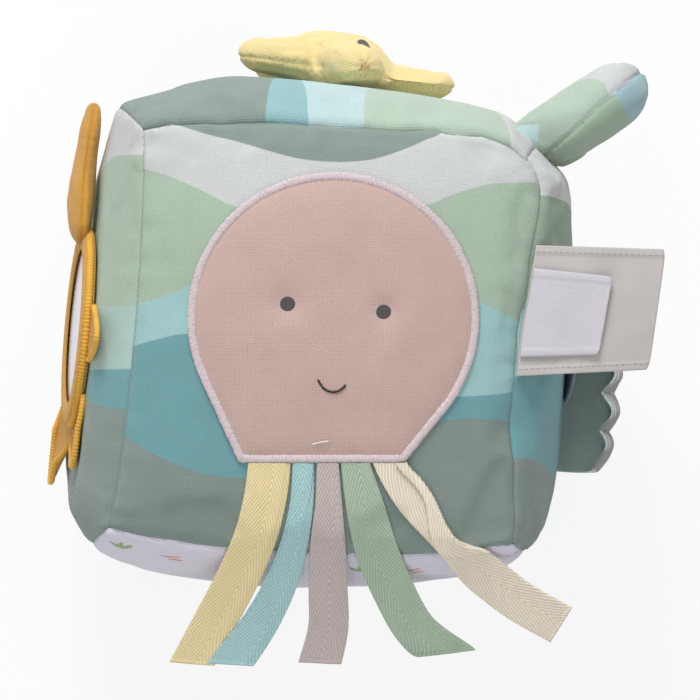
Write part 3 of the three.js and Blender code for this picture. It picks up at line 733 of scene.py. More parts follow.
def unroll(piece: Piece, plan: Callable[[Vector], tuple[float, float]]) -> None:
    """Gives a skin its flat plan by each point's place, in millimetres.

    Args:
        piece: the piece.
        plan: the flat place of a place on the skin, both in millimetres.
    """
    layer = piece.data.uv_layers.new(name="plan")
    for loop in piece.data.loops:
        layer.data[loop.index].uv = plan(piece.data.vertices[loop.vertex_index].co / MM)


def blend_mm(piece: Piece, start: Vector) -> None:
    """Bakes a piece's transform into its mesh."""
    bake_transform(piece)


# Finishes


def linear(tone: Tone, factor: float = 1.0) -> tuple[float, float, float, float]:
    """A colour of 0 to 255, lightened or darkened by a factor, as the shader's linear one."""
    parts = (min(255.0, part * factor) for part in tone)
    return (*(part / 12.92 / 255 if part <= 10.3 else ((part / 255 + 0.055) / 1.055) ** 2.4 for part in parts), 1.0)


class Nodes:
    """Builds the nodes of one material, or of the world."""

    def __init__(self, name: str, world: bool = False) -> None:
        """Starts a material with its Principled shader, or a world with its Background.

        Args:
            name: the material's or the world's name.
            world: whether it is a world.
        """
        self.owner = (bpy.data.worlds if world else bpy.data.materials).new(name)
        self.owner.use_nodes = True
        self.tree = self.owner.node_tree
        self.shader = self.tree.nodes["Background" if world else "Principled BSDF"]

    def feed(self, socket: Socket, value: object) -> None:
        """Links a socket, or sets it to a plain value.

        Args:
            socket: the socket to feed.
            value: a plain value or another node's socket.
        """
        if isinstance(value, bpy.types.NodeSocket):
            self.tree.links.new(value, socket)
        else:
            socket.default_value = value

    def new(self, kind: str, **values: object) -> bpy.types.Node:
        """A new node, with some of its inputs by name.

        Args:
            kind: the node's kind, without its prefix.
            **values: its inputs, by name.

        Returns:
            The node.
        """
        node = self.tree.nodes.new(f"ShaderNode{kind}")
        for name, value in values.items():
            self.feed(node.inputs[name], value)
        return node

    def math(self, operation: str, *values: object, clamp: bool = False) -> Socket:
        """A Math node's result.

        Args:
            operation: the operation's name.
            clamp: whether the result is kept from 0 to 1.
            *values: its inputs, in order.

        Returns:
            The result's socket.
        """
        node = self.new("Math")
        node.operation = operation
        node.use_clamp = clamp
        for socket, value in zip(node.inputs, values):
            self.feed(socket, value)
        return node.outputs[0]

    def scaled(self, value: object, factor: object, offset: object = 0.0, clamp: bool = False) -> Socket:
        """A value times a factor, plus an offset."""
        return self.math("MULTIPLY_ADD", value, factor, offset, clamp=clamp)

    def wave(self, value: object, pitch: float) -> Socket:
        """A sine wave of a pitch."""
        return self.math("SINE", self.scaled(value, TURN / pitch))

    def mix(self, share: object, first: object, second: object, blend: str = "MIX") -> Socket:
        """Two colours mixed by a share.

        Args:
            share: the second colour's share.
            first: the first colour.
            second: the second colour.
            blend: how they are mixed.

        Returns:
            The mixed colour's socket.
        """
        node = self.new("Mix")
        node.data_type = "RGBA"
        node.blend_type = blend
        for index, value in ((0, share), (6, first), (7, second)):
            self.feed(node.inputs[index], value)
        return node.outputs[2]

    def plan(self, across: float = 1.0, along: float = 1.0) -> Socket:
        """The cloth's flat place, scaled each way.

        Args:
            across: the scale across the cloth.
            along: the scale along the cloth.

        Returns:
            The vector's socket.
        """
        uv = self.new("UVMap")
        uv.uv_map = "plan"
        return self.new("Mapping", Vector=uv.outputs["UV"], Scale=(across, along, 1.0)).outputs["Vector"]

    def object_place(self) -> Socket:
        """The place in the object's own frame, in millimetres."""
        place = self.new("TexCoord").outputs["Object"]
        return self.new("Mapping", Vector=place, Scale=(1 / MM,) * 3).outputs["Vector"]

    def parts(self, vector: Socket) -> tuple[Socket, ...]:
        """A vector's three numbers."""
        return tuple(self.new("SeparateXYZ", Vector=vector).outputs)

    def noise(self, vector: Socket, scale: float, detail: float = 2.0) -> Socket:
        """Smooth noise from 0 to 1."""
        return self.new("TexNoise", Vector=vector, Scale=scale, Detail=detail).outputs["Fac"]

    def attribute(self, name: str) -> Socket:
        """A number kept on the mesh.

        Args:
            name: the number's name.

        Returns:
            The number's socket.
        """
        node = self.new("Attribute")
        node.attribute_name = name
        return node.outputs["Fac"]

    def bump(self, height: Socket, distance: float, strength: float = 1.0) -> None:
        """Raises the surface by a height, with the distance in millimetres."""
        node = self.new("Bump", Strength=strength, Distance=distance * MM, Height=height)
        self.feed(self.shader.inputs["Normal"], node.outputs[0])

    def surface(self, **values: object) -> None:
        """Sets the shader's inputs by name, with _ for a space."""
        for name, value in values.items():
            self.feed(self.shader.inputs[name.replace("_", " ")], value)

    def cloth(self, colour: Socket, roughness: float, sheen: float) -> None:
        """A cloth's colour and plain shader values."""
        self.surface(Base_Color=colour, Roughness=roughness, Specular_IOR_Level=0.25, Sheen_Weight=sheen,
                     Sheen_Roughness=0.5)


@dataclass(frozen=True)
class Finish:
    """A cloth, thread, film or plastic."""

    name: str

    def build(self) -> bpy.types.Material:
        """Makes the material.

        Returns:
            The material.
        """
        nodes = Nodes(self.name)
        self.dress(nodes)
        return nodes.owner

    def dress(self, nodes: Nodes) -> None:
        """Sets the material's colour and relief."""
        raise NotImplementedError


@dataclass(frozen=True)
class Jersey(Finish):
    """Brushed cotton jersey: fine wales of V-shaped loops, a soft mottle, and printed bands where it has them."""

    tones: tuple[Tone, ...]
    wale: float = 0.75
    course: float = 0.6
    relief: float = 0.16
    mottle: float = 0.13
    sheen: float = 0.2
    edge: float = 0.35

    def loops(self, nodes: Nodes) -> Socket:
        """The knit's height, about from -1 to 1.

        Args:
            nodes: the material's nodes.

        Returns:
            The height's socket.
        """
        across, along, _ = nodes.parts(nodes.plan(1 / self.wale, 1 / self.course))
        across = nodes.scaled(nodes.noise(nodes.plan(), 0.35), 0.5, across)
        leg = nodes.math("ABSOLUTE", nodes.math("SUBTRACT", nodes.math("FRACT", across), 0.5))
        return nodes.scaled(nodes.wave(nodes.scaled(leg, 1.2, along), 1), 0.4, nodes.scaled(nodes.wave(leg, 1), 0.6))

    def dress(self, nodes: Nodes) -> None:
        """Sets the knit, its mottle and its printed bands.

        Args:
            nodes: the material's nodes.
        """
        colour: object = linear(self.tones[0])
        for order, tone in enumerate(self.tones[1:], 1):
            over = nodes.scaled(nodes.attribute(f"band_{order}"), -1 / self.edge, 0.5, clamp=True)
            colour = nodes.mix(over, colour, linear(tone))
        height = self.loops(nodes)
        speck, cloud = nodes.noise(nodes.plan(), 1.6, 3.0), nodes.noise(nodes.plan(), 0.09, 3.0)
        # Painted shade: the knit is darker where its loops are low; the speck and the cloud are random tone.
        shade = nodes.scaled(height, 0.25, 0.88)
        for grain, share in ((speck, self.mottle * 2), (cloud, self.mottle)):
            shade = nodes.math("MULTIPLY", shade, nodes.scaled(grain, share, 1 - share / 2))
        nodes.cloth(nodes.mix(1.0, colour, shade, "MULTIPLY"), 0.92, self.sheen)
        nodes.bump(nodes.scaled(speck, 0.8, height), self.relief, 0.7)


@dataclass(frozen=True)
class Sprigs(Finish):
    """White jersey with small printed sprigs and strokes, spread evenly."""

    ground: Tone
    leaf: Tone
    stroke: Tone
    cell: float = 34.0
    row_shift: float = 0.4
    leaf_size: tuple[float, float] = (2.4, 0.8)
    leaf_root: tuple[float, float] = (6.0, 15.0)
    leaf_out: float = 2.8
    leaf_turns: tuple[float, ...] = (0.9, 1.57, 2.24)
    stroke_drops: tuple[float, ...] = (0.0, 1.8)
    stroke_turn: float = 0.08

    def petals(self, nodes: Nodes, x: Socket, y: Socket, shapes: Sequence[tuple[float, ...]]) -> Socket:
        """Some printed leaves or strokes.

        Args:
            nodes: the material's nodes.
            x: the place across a cell.
            y: the place along it.
            shapes: each one's middle, turn, half length and half width.

        Returns:
            1 inside any of them.
        """
        whole: object = 0.0
        for middle_x, middle_y, turn, length, width in shapes:
            dx, dy = nodes.math("SUBTRACT", x, middle_x), nodes.math("SUBTRACT", y, middle_y)
            cos, sin = math.cos(turn), math.sin(turn)
            run = nodes.scaled(dx, cos / length, nodes.scaled(dy, sin / length))
            off = nodes.scaled(dx, -sin / width, nodes.scaled(dy, cos / width))
            away = nodes.scaled(run, run, nodes.math("MULTIPLY", off, off))
            whole = nodes.math("MAXIMUM", whole, nodes.scaled(away, -3.0, 3.5, clamp=True))
        return whole

    def dress(self, nodes: Nodes) -> None:
        """Sets the knit and its print.

        Args:
            nodes: the material's nodes.
        """
        across, along, _ = nodes.parts(nodes.plan())
        row = nodes.math("SUBTRACT", nodes.math("FLOOR", nodes.math("DIVIDE", along, self.cell)), 3.0)
        x = nodes.math("WRAP", nodes.scaled(row, self.cell * self.row_shift, across), 0.0, self.cell)
        y = nodes.math("WRAP", along, 0.0, self.cell)
        root_x, root_y = self.leaf_root
        leaves = [(root_x + self.leaf_out * math.cos(turn), root_y + self.leaf_out * math.sin(turn), turn,
                   *self.leaf_size) for turn in self.leaf_turns]
        strokes = [(20 + drop, 19 - drop, self.stroke_turn, 3.1 - drop / 2, 0.45) for drop in self.stroke_drops]
        colour = nodes.mix(self.petals(nodes, x, y, leaves), linear(self.ground), linear(self.leaf))
        colour = nodes.mix(self.petals(nodes, x, y, strokes), colour, linear(self.stroke))
        height = Jersey(self.name, (self.ground,)).loops(nodes)
        speck = nodes.noise(nodes.plan(), 1.6, 3.0)
        shade = nodes.mix(nodes.scaled(speck, 0.16), (1, 1, 1, 1), (0.6, 0.6, 0.66, 1))
        nodes.cloth(nodes.mix(1.0, colour, shade, "MULTIPLY"), 0.92, 0.2)
        nodes.bump(nodes.math("ADD", height, speck), 0.16, 0.7)


@dataclass(frozen=True)
class Twill(Finish):
    """Herringbone twill tape: steep ribs that meet along a point line."""

    tone: Tone
    point: float
    pitch: float = 2.1
    slope: float = 2.3
    yarn: float = 0.62

    def dress(self, nodes: Nodes) -> None:
        """Sets the ribs, their yarn and their flecks, with painted shade in the ribs' low places and a painted
        highlight on their crests.

        Args:
            nodes: the material's nodes.
        """
        across, along, _ = nodes.parts(nodes.plan())
        off = nodes.math("ABSOLUTE", nodes.math("SUBTRACT", across, self.point))
        run = nodes.scaled(nodes.noise(nodes.plan(), 0.8), 0.5, nodes.scaled(off, -self.slope, along))
        yarn = nodes.wave(nodes.math("ADD", off, along), self.yarn)
        height = nodes.scaled(nodes.wave(run, self.pitch), 0.55, nodes.scaled(yarn, 0.3))
        # Painted shade and painted highlight: the tone is darker where the ribs are low and lighter where they are
        # high.
        share = nodes.scaled(height, 0.4, 0.7, clamp=True)
        colour = nodes.mix(share, linear(self.tone, 0.74), linear(self.tone, 1.05))
        fleck = nodes.scaled(nodes.noise(nodes.plan(), 2.2, 3.0), 0.2)
        nodes.cloth(nodes.mix(fleck, colour, linear(self.tone)), 0.85, 0.15)
        nodes.bump(height, 0.16, 0.8)


@dataclass(frozen=True)
class Thread(Finish):
    """Spun or satin thread: fine strands that run across or along a stitch."""

    tone: Tone
    strand: float = 0.5
    along: bool = False
    spread: float = 0.16
    roughness: float = 0.6

    def dress(self, nodes: Nodes) -> None:
        """Sets the strands, with painted shade between them.

        Args:
            nodes: the material's nodes.
        """
        run, turn, _ = nodes.parts(nodes.plan())
        strand = nodes.math("ABSOLUTE", nodes.wave(turn if self.along else run, 2 * self.strand))
        fleck = nodes.noise(nodes.plan(2.0, 0.4), 1.0)
        # Painted shade: the tone is darker between the strands and lighter on them, mixed with a random fleck.
        share = nodes.scaled(strand, 0.6, nodes.scaled(fleck, 0.4))
        colour = nodes.mix(share, linear(self.tone, 1 - self.spread), linear(self.tone, 1 + self.spread / 3))
        nodes.cloth(colour, self.roughness, 0.2)
        nodes.bump(strand, 0.08, 0.6)


@dataclass(frozen=True)
class Weave(Finish):
    """Plain or satin woven cloth, or felt where the thread is very fine."""

    tone: Tone
    thread: float = 0.45
    relief: float = 0.08
    mottle: float = 0.1
    roughness: float = 0.8
    sparkle: Optional[Tone] = None

    def dress(self, nodes: Nodes) -> None:
        """Sets the weave, its mottle and its glints.

        Args:
            nodes: the material's nodes.
        """
        across, along, _ = nodes.parts(nodes.plan(TURN / self.thread, TURN / self.thread))
        weft = nodes.math("SINE", nodes.math("ADD", across, along))
        warp = nodes.math("SINE", nodes.math("SUBTRACT", across, along))
        fleck = nodes.noise(nodes.plan(), 1.1, 4.0)
        share = nodes.scaled(fleck, 0.6, nodes.scaled(nodes.noise(nodes.plan(), 0.12), 0.4))
        colour = nodes.mix(share, linear(self.tone, 1 - self.mottle * 1.6), linear(self.tone, 1 + self.mottle / 2))
        if self.sparkle:
            glint = nodes.scaled(nodes.noise(nodes.plan(), 1.5, 1.0), 9.0, -6.0, clamp=True)
            colour = nodes.mix(glint, colour, linear(self.sparkle))
        nodes.cloth(colour, self.roughness, 0.15)
        nodes.bump(nodes.scaled(weft, warp, fleck), self.relief, 0.7)


@dataclass(frozen=True)
class Film(Finish):
    """Soft mirror film, crinkling film or moulded plastic."""

    tone: Tone
    metallic: float = 0.0
    roughness: float = 0.3
    wave: float = 0.05
    relief: float = 0.3

    def dress(self, nodes: Nodes) -> None:
        """Sets the film's waves and haze.

        Args:
            nodes: the material's nodes.
        """
        place = nodes.object_place()
        slow, fine = nodes.noise(place, self.wave), nodes.noise(place, self.wave * 12, 3.0)
        nodes.surface(Base_Color=nodes.mix(slow, linear(self.tone, 0.9), linear(self.tone)), Metallic=self.metallic,
                      Roughness=nodes.scaled(fine, self.roughness * 0.5, self.roughness * 0.75))
        nodes.bump(nodes.scaled(fine, 0.15, slow), self.relief, 0.5)


SLATE = (134, 149, 143)
PALE_GREY = (203, 206, 206)
SAGE = (170, 190, 171)
LIGHT_AQUA = (160, 200, 200)
TEAL = (113, 163, 169)
MINT_AQUA = (173, 202, 196)
LIGHT_CYAN = (184, 209, 210)
MINT_GREEN = (178, 196, 180)
# Sage darkened for the right panel's band: painted shade.
SHADED_SAGE = (147, 167, 148)
MUSTARD = (218, 160, 66)
GOLD = (232, 176, 62)


@dataclass(frozen=True)
class Print:
    """Bands of tone on one panel, and the lines between them as places along one axis and over another."""

    tones: tuple[Tone, ...]
    along: int
    over: int
    lines: tuple[Line, ...]


PRINTS = {
    Face.FRONT: Print(
        (SLATE, PALE_GREY, SAGE, LIGHT_AQUA, TEAL, SLATE), 0, 1,
        (
            ((-75, 90), (-50, 64.5), (-44, 62.4), (-34.2, 59.4), (-25.3, 57.2), (-16.3, 54.4), (-7.4, 52.1),
             (3, 51.1), (13.5, 51.8), (22.4, 54.5), (29.9, 57.8), (36, 62), (46, 80)),
            ((-75, 52), (-54.8, 49.7), (-46.2, 47.1), (-37.2, 43.2), (-29.5, 39), (-14, 33.5), (1.5, 31.5),
             (17, 33.5), (32.5, 39), (40.3, 42.3), (49.2, 44.7), (63.2, 45.4), (75, 45)),
            ((-75, 5), (-56.3, 8.9), (-49.1, 11), (-41.1, 14.3), (-20, 24), (1.5, 26), (25, 20), (38, 13.5),
             (46.2, 9.8), (52.2, 6.8), (58.2, 3.2), (75, -6)),
            ((-75, -8), (-57.2, -3.6), (-49.1, -1.2), (-40.2, 0.3), (-20, -2), (5, -12), (25, -17.5),
             (38.8, -18.2), (47.7, -17.9), (55.8, -16.7), (75, -12)),
            ((-75, -20), (-60.5, -28.9), (-55.1, -32.8), (-47.6, -36.7), (-40.2, -39.7), (-32.7, -41.5),
             (-22.9, -42.1), (-5, -38), (15, -30), (34, -25.7), (44.8, -24.8), (55.2, -26), (75, -29)),
        ),
    ),
    Face.LEFT: Print(
        (PALE_GREY, SAGE, MINT_AQUA, TEAL, SLATE), 2, 1,
        (
            ((0, 20), (40, 30), (80, 45), (106, 53), (122, 54.4), (140, 53.7)),
            ((0, 20), (60, 26), (92, 21.5), (105, 17), (112, 13.0), (120, 9.4), (140, 8.5)),
            ((0, 0), (50, -6), (95, -10.6), (140, -10.2)),
            ((0, -32), (40, -24), (85, -15.5), (105, -17), (120, -19.3), (134, -21.6), (140, -22)),
        ),
    ),
    Face.RIGHT: Print(
        # Its sage band is painted in shade.
        (PALE_GREY, SHADED_SAGE, LIGHT_AQUA, TEAL, SLATE), 2, 1,
        (
            ((0, 18), (70, 31), (105, 38.9), (137, 41.6), (145, 41.6)),
            ((0, 2), (60, 12), (137, 8), (145, 8)),
            ((0, -22), (70, -8), (137, -12), (145, -12)),
            ((0, -54), (60, -50), (105, -43), (137, -37), (145, -36.5)),
        ),
    ),
    Face.TOP: Print(
        (PALE_GREY, MINT_GREEN, LIGHT_CYAN, (142, 183, 186), SLATE), 2, 0,
        (
            ((0, 42), (60, 52), (110, 53), (145, 56)),
            ((0, 18), (60, 22), (95, 16.5), (120, 12.5), (145, 11.5)),
            ((0, -14), (60, -12), (95, -8.7), (137, -5.1), (145, -4.6)),
            ((0, -25), (60, -18), (95, -15.5), (137, -17.5), (145, -18)),
        ),
    ),
    Face.BACK: Print(
        (SLATE, PALE_GREY, MINT_GREEN, LIGHT_AQUA, TEAL), 0, 1,
        (
            ((-75, 34), (-40, 44), (0, 34), (40, 26), (75, 34)),
            ((-75, 20), (-35, 10), (0, 16), (40, 6), (75, 12)),
            ((-75, -12), (-40, -6), (0, -16), (40, -10), (75, -20)),
            ((-75, -26), (-30, -38), (10, -32), (45, -42), (75, -36)),
        ),
    ),
}


class Finishes:
    """The block's cloths, threads and plastics, each built once when it is first used."""

    RECIPES = {
        **{f"{face.value}_print": Jersey(f"{face.value}_print", pattern.tones) for face, pattern in PRINTS.items()},
        "bottom_print": Sprigs("bottom_print", (225, 222, 235), (150, 180, 130), (206, 138, 96)),
        "octopus": Jersey("octopus_jersey", ((204, 176, 168),), wale=0.8, relief=0.22, mottle=0.12),
        "satin": Thread("satin_stitch", (213, 198, 201), 0.42),
        "eye": Thread("eye_thread", (80, 75, 76), 0.42, along=True, spread=0.4, roughness=0.75),
        "smile": Thread("smile_thread", (56, 50, 48), 0.4, roughness=0.8),
        "white_thread": Thread("white_thread", (236, 232, 226), 0.35),
        "starfish": Jersey("starfish_jersey", ((247, 226, 163),), wale=0.8, relief=0.22, mottle=0.07),
        "coral_thread": Thread("coral_thread", (226, 168, 128), 0.3),
        "mustard": Jersey("mirror_jersey", (MUSTARD,), wale=0.8, relief=0.22, mottle=0.12),
        "gold_thread": Thread("overlock_thread", GOLD, 0.55, spread=0.25),
        "mirror": Film("mirror_film", (214, 211, 222), metallic=0.9, roughness=0.22, relief=0.15),
        "flap_outside": Weave("flap_outside", (183, 180, 178), relief=0.12, sparkle=(240, 240, 246)),
        "flap_lining": Jersey("flap_lining", ((198, 212, 206),), mottle=0.16),
        "crinkle": Film("crinkle_film", (220, 220, 222), roughness=0.35, wave=0.15),
        "patch": Weave("patch_felt", (92, 122, 134), 0.3, mottle=0.2),
        "patch_thread": Thread("patch_thread", (190, 204, 222), 0.4),
        "care": Weave("care_label", (200, 195, 192), 0.5, relief=0.05, mottle=0.05),
        "care_thread": Thread("care_thread", (178, 174, 172), 0.3),
        "woven": Weave("woven_label", (214, 211, 218), 0.7, relief=0.1, mottle=0.04),
        "fibre": Weave("filling_fibre", (244, 242, 236), 1.4, relief=0.5, mottle=0.06),
        "rattle": Film("rattle_plastic", (242, 242, 240), roughness=0.4),
        "bead": Film("rattle_bead", (216, 162, 74), roughness=0.25),
        "seam_thread": Thread("seam_thread", (150, 170, 164), 0.35),
        "tab_upper": Jersey("tab_upper", (PALE_GREY, MINT_GREEN, LIGHT_CYAN)),
        "tab_lower": Jersey("tab_lower", ((158, 188, 196), (163, 184, 163))),
        "yellow": Twill("tape_yellow", (255, 227, 176), 7.6),
        "aqua": Twill("tape_aqua", (178, 216, 217), 9.5),
        "grey": Twill("tape_grey", (204, 191, 188), 6.2),
        "green": Twill("tape_green", (178, 198, 176), 5.4),
        "cream": Twill("tape_cream", (255, 234, 214), 7.0),
    }

    def __init__(self) -> None:
        """Starts with nothing built."""
        self.built: dict[str, bpy.types.Material] = {}

    def get(self, name: str) -> bpy.types.Material:
        """The material of a finish.

        Args:
            name: the finish's name.

        Returns:
            The material.
        """
        if name not in self.built:
            self.built[name] = self.RECIPES[name].build()
        return self.built[name]


# Cover


class CoverSurface:
    """Finds places on the finished cover for what is sewn on it."""

    STARTS = {
        Face.FRONT: (Vector((0, 0, 400)), (0, 1)),
        Face.RIGHT: (Vector((400, 0, 0)), (1, 2)),
        Face.TOP: (Vector((0, 400, 0)), (2, 0)),
    }

    def __init__(self, tree: BVHTree) -> None:
        """Keeps the cover's search tree, in millimetres."""
        self.tree = tree

    def at(self, face: Face, first: float, second: float) -> Vector:
        """The cover's point seen square on.

        Args:
            face: the side that it is seen from.
            first: the place along the side's first axis.
            second: the place along its second axis.

        Returns:
            The point, in millimetres.
        """
        start, axes = self.STARTS[face]
        origin = start.copy()
        origin[axes[0]] = first
        origin[axes[1]] = second
        point, _, _, _ = self.tree.ray_cast(origin, -start.normalized())
        return point if point is not None else self.tree.find_nearest(origin * 0.5)[0]


@dataclass
class SubAssembly:
    """What each part of the block is made with: the form, the finishes and, once it is sewn, the cover."""

    form: BlockForm
    finishes: Finishes
    surface: Optional[CoverSurface] = None

    def dress(self, piece: Piece, finish: str, slot: str, nodes: Sequence[str] = (),
              body: Optional[str] = None) -> Piece:
        """Dresses a piece, hides the solids that it stands for and hangs it on its body where it has one.

        Args:
            piece: the piece.
            finish: its finish's name.
            slot: not used.
            nodes: the nodes that it stands for.
            body: the body that it rides on, or None where it rides on none.

        Returns:
            The piece.
        """
        if not piece.data.materials:
            piece.data.materials.append(self.finishes.get(finish))
        if nodes:
            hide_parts(*nodes)
        if body:
            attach(piece, body)
        LOG.info("%s: %d faces", piece.name, len(piece.data.polygons))
        return piece

    def make(self, mesh: Mesh, name: str, finish: str, slot: str, nodes: Sequence[str] = (),
             body: Optional[str] = None) -> Piece:
        """Makes and dresses a closed piece of a mesh in millimetres, as dress says."""
        return self.dress(to_object(mesh, name), finish, slot, nodes, body)

    def make_sheet(self, mesh: Mesh, name: str, finish: str, slot: str, nodes: Sequence[str], body: Optional[str],
                   thickness: float, out: Vector = UP) -> Piece:
        """Makes and dresses a piece of cloth.

        Args:
            mesh: its outside, in millimetres.
            name: the piece's name.
            finish: its finish's name.
            slot: not used.
            nodes: the nodes that it stands for.
            body: the body that it rides on, or None where it rides on none.
            thickness: its thickness.
            out: the way its outside faces.

        Returns:
            The piece.
        """
        face_out(mesh, out)
        piece = to_object(mesh, name)
        thicken(piece, thickness)
        return self.dress(piece, finish, slot, nodes, body)


@dataclass
class Cover(SubAssembly):
    """Six sewn jersey panels over the filling."""

    steps: int = 60
    swell_cap: float = 0.8
    pressed_cap: float = 0.35
    pressed_depth: float = 25.0
    pinned: float = 0.1
    groove: float = 0.5
    crease: float = 1.5
    groove_reach: float = 1.0
    sample_pitch: float = 0.5
    samples_per_stitch: int = 5
    stitch_pitch: float = 2.6
    dimple: float = 0.3
    dimple_off: float = 1.8
    dimple_reach: float = 0.9
    wrinkle: float = 0.55
    wrinkle_reach: float = 7.0
    wrinkle_pitch: float = 4.5
    corner_gather: float = 1.6
    corner_reach: float = 12.0
    unevenness: float = 0.55
    fine_unevenness: float = 0.16
    cloth_thickness: float = 1.1

    CREASED = ("front_high_left", "front_high_right")

    def __post_init__(self) -> None:
        """Samples the seams for the grooves and puckers along them."""
        self.samples: list[tuple[Vector, float, int]] = []
        self.creased = list(self.form.BOW_SHARES).index(self.CREASED)
        for order, (start, end) in enumerate(self.form.BOW_SHARES):
            path = even_path([self.form.seam(start, end, step / 200) for step in range(201)], self.sample_pitch)
            self.samples += [(point, step * self.sample_pitch, order) for step, point in enumerate(path)]
        self.tree = KDTree(len(self.samples))
        for index, (point, _, _) in enumerate(self.samples):
            self.tree.insert(point, index)
        self.tree.balance()

    def cap(self, place: Vector) -> float:
        """How far the filling may push the cover out.

        Args:
            place: a point of the cover.

        Returns:
            The distance in millimetres, 0 along the seams and on the floor.
        """
        _, _, away = self.tree.find(place)
        if away < self.pinned or place.z < 1.0:
            return 0.0
        local = self.form.to_mirror @ place
        behind = abs(local.z) < self.pressed_depth and math.hypot(local.x, local.y) < self.form.press_reach
        return self.pressed_cap if behind else self.swell_cap

    def detail(self, place: Vector) -> float:
        """Height of the sewn detail at a place, out of the cover.

        Args:
            place: a point of the cover.

        Returns:
            The height in millimetres, below 0 in the grooves.
        """
        _, index, away = self.tree.find(place)
        _, run, order = self.samples[index]
        height = -(self.crease if order == self.creased else self.groove) * bell(away, self.groove_reach)
        dimple = 0.5 + 0.5 * math.cos(TURN * run / self.stitch_pitch)
        height -= self.dimple * dimple * bell(away - self.dimple_off, self.dimple_reach)
        corner = min((place - point).length for point in self.form.corner.values())
        gather = self.wrinkle * (1 + self.corner_gather * math.exp(-corner / self.corner_reach))
        crease = ripple(run / self.wrinkle_pitch, order * 7.3, away * 0.03)
        height += gather * crease * math.exp(-away / self.wrinkle_reach) * smoothstep(away, 0.0, 2.0)
        calm = smoothstep(away, 0, 12) * (1.0 if place.z > 2 else 0.0)
        small = ripple(place.x / 9, place.y / 9 + 11, place.z / 9)
        return height + calm * (self.unevenness * ripple(*(place / 26)) + self.fine_unevenness * small)

    def build(self) -> CoverSurface:
        """Makes the six panels and the stitches along their seams.

        Returns:
            The surface for what is sewn on it.
        """
        sheets = []
        for order, face in enumerate(Face):
            a, b, _, d = (self.form.corner[name] for name in self.form.PANELS[face].corners)
            wide, tall = (b - a).length, (d - a).length
            sheet = shaped_grid(self.steps, self.steps, lambda u, v, side=face: self.form.point(side, u, v),
                                lambda u, v, w=wide, t=tall: (u * w, v * t), weld=0)
            for facet in sheet.faces:
                facet.material_index = order
            sheets.append(sheet)
        whole = join(sheets)
        bmesh.ops.remove_doubles(whole, verts=whole.verts, dist=0.01)
        bmesh.ops.recalc_face_normals(whole, faces=whole.faces)
        cover = to_object(whole, "cover")
        for _ in Face:
            cover.data.materials.append(None)
        swell(cover, self.cap)
        refine(cover)
        mesh = from_data(cover.data)
        bpy.data.objects.remove(cover)
        mesh.normal_update()
        for vert, move in [(vert, vert.normal * self.detail(vert.co)) for vert in mesh.verts]:
            vert.co += move
            vert.co.z = max(vert.co.z, 0.0)
        mesh.normal_update()
        out = mesh.verts.layers.float_vector.new("out")
        for vert in mesh.verts:
            vert[out] = vert.normal
        tree = BVHTree.FromBMesh(mesh)
        for order, face in enumerate(Face):
            self.panel(mesh, order, face)
        mesh.free()
        self.stitches(tree)
        return CoverSurface(tree)

    def panel(self, whole: Mesh, order: int, face: Face) -> None:
        """Cuts one panel from the cover and dresses it.

        Args:
            whole: the cover, in millimetres.
            order: the panel's material index there.
            face: which panel it is.
        """
        part = whole.copy()
        others = [facet for facet in part.faces if facet.material_index != order]
        bmesh.ops.delete(part, geom=others, context="FACES")
        for facet in part.faces:
            facet.material_index = 0
        pattern = PRINTS.get(face)
        for number, line in enumerate(pattern.lines if pattern else (), 1):
            layer = part.verts.layers.float.new(f"band_{number}")
            for vert in part.verts:
                vert[layer] = vert.co[pattern.over] - line_height(line, vert.co[pattern.along])
        self.line(part)
        piece = self.make(part, f"{face.value}_jersey_panel", f"{face.value}_print",
                          "jersey_print" if pattern else "jersey_white", [f"{face.value}_panel"], "block")
        width, length = self.form.arcs(face)

    def line(self, part: Mesh) -> None:
        """Gives a panel its thickness, mitred along its seams by the whole cover's normals.

        Args:
            part: the panel, in millimetres.
        """
        out = part.verts.layers.float_vector["out"]
        rim = [edge for edge in part.edges if len(edge.link_faces) == 1]
        outside = list(part.verts)
        made = bmesh.ops.duplicate(part, geom=[*part.verts, *part.edges, *part.faces])
        twin = {vert: made["vert_map"][vert] for vert in outside}
        for vert, inner in twin.items():
            inner.co = vert.co - Vector(vert[out]) * self.cloth_thickness
        bmesh.ops.reverse_faces(part, faces=[item for item in made["geom"] if isinstance(item, bmesh.types.BMFace)])
        for edge in rim:
            loop = edge.link_loops[0]
            low, high = loop.vert, loop.link_loop_next.vert
            part.faces.new((high, low, twin[low], twin[high]))

    def stitches(self, tree: BVHTree) -> None:
        """Makes the small stitches that show in the grooves.

        Args:
            tree: the cover's search tree.
        """
        threads = []
        for point, run, _ in self.samples:
            if round(run / self.sample_pitch) % self.samples_per_stitch:
                continue
            spot, normal, _, _ = tree.find_nearest(point)
            ahead, _, _ = self.tree.find(point + normal.orthogonal())
            along = ahead - point
            if spot.z >= 2 and along.length >= 0.1:
                threads.append(capsule(spot - normal * 0.05, along.cross(normal), normal, 0.45, 0.18))
        self.make(join(threads), "seam_stitches", "seam_thread", "jersey_print", body="block")


@dataclass
class Filling(SubAssembly):
    """Loose fibre in two halves round the rattle."""

    voxel: float = 4.0
    lump: float = 1.3
    lump_size: float = 11.0
    drawn_in: float = 0.6
    clear: float = 1.7

    def build(self) -> None:
        """Makes both halves from the solids that they fill."""
        def move(place: Vector, normal: Vector) -> Vector:
            """The fibre's place, drawn in, lumpy and clear of the cover.

            Args:
                place: a place, in millimetres.
                normal: the way it faces there.

            Returns:
                The point, in millimetres.
            """
            lump = 0.5 + 0.5 * ripple(*(place / self.lump_size))
            place = place - normal * (self.drawn_in + self.lump * lump)
            near, out, _, _ = self.surface.tree.find_nearest(place)
            return place - out * max(0.0, (place - near).dot(out) + self.clear)

        for name in ("stuffing_front", "stuffing_back"):
            piece = one_skin([name], f"{name}_fibre", self.voxel)
            reshape(piece, move)
            unroll(piece, lambda place: (place.x + place.z, place.y + 0.5 * place.z))
            self.dress(piece, "fibre", "filling", [name], "block")


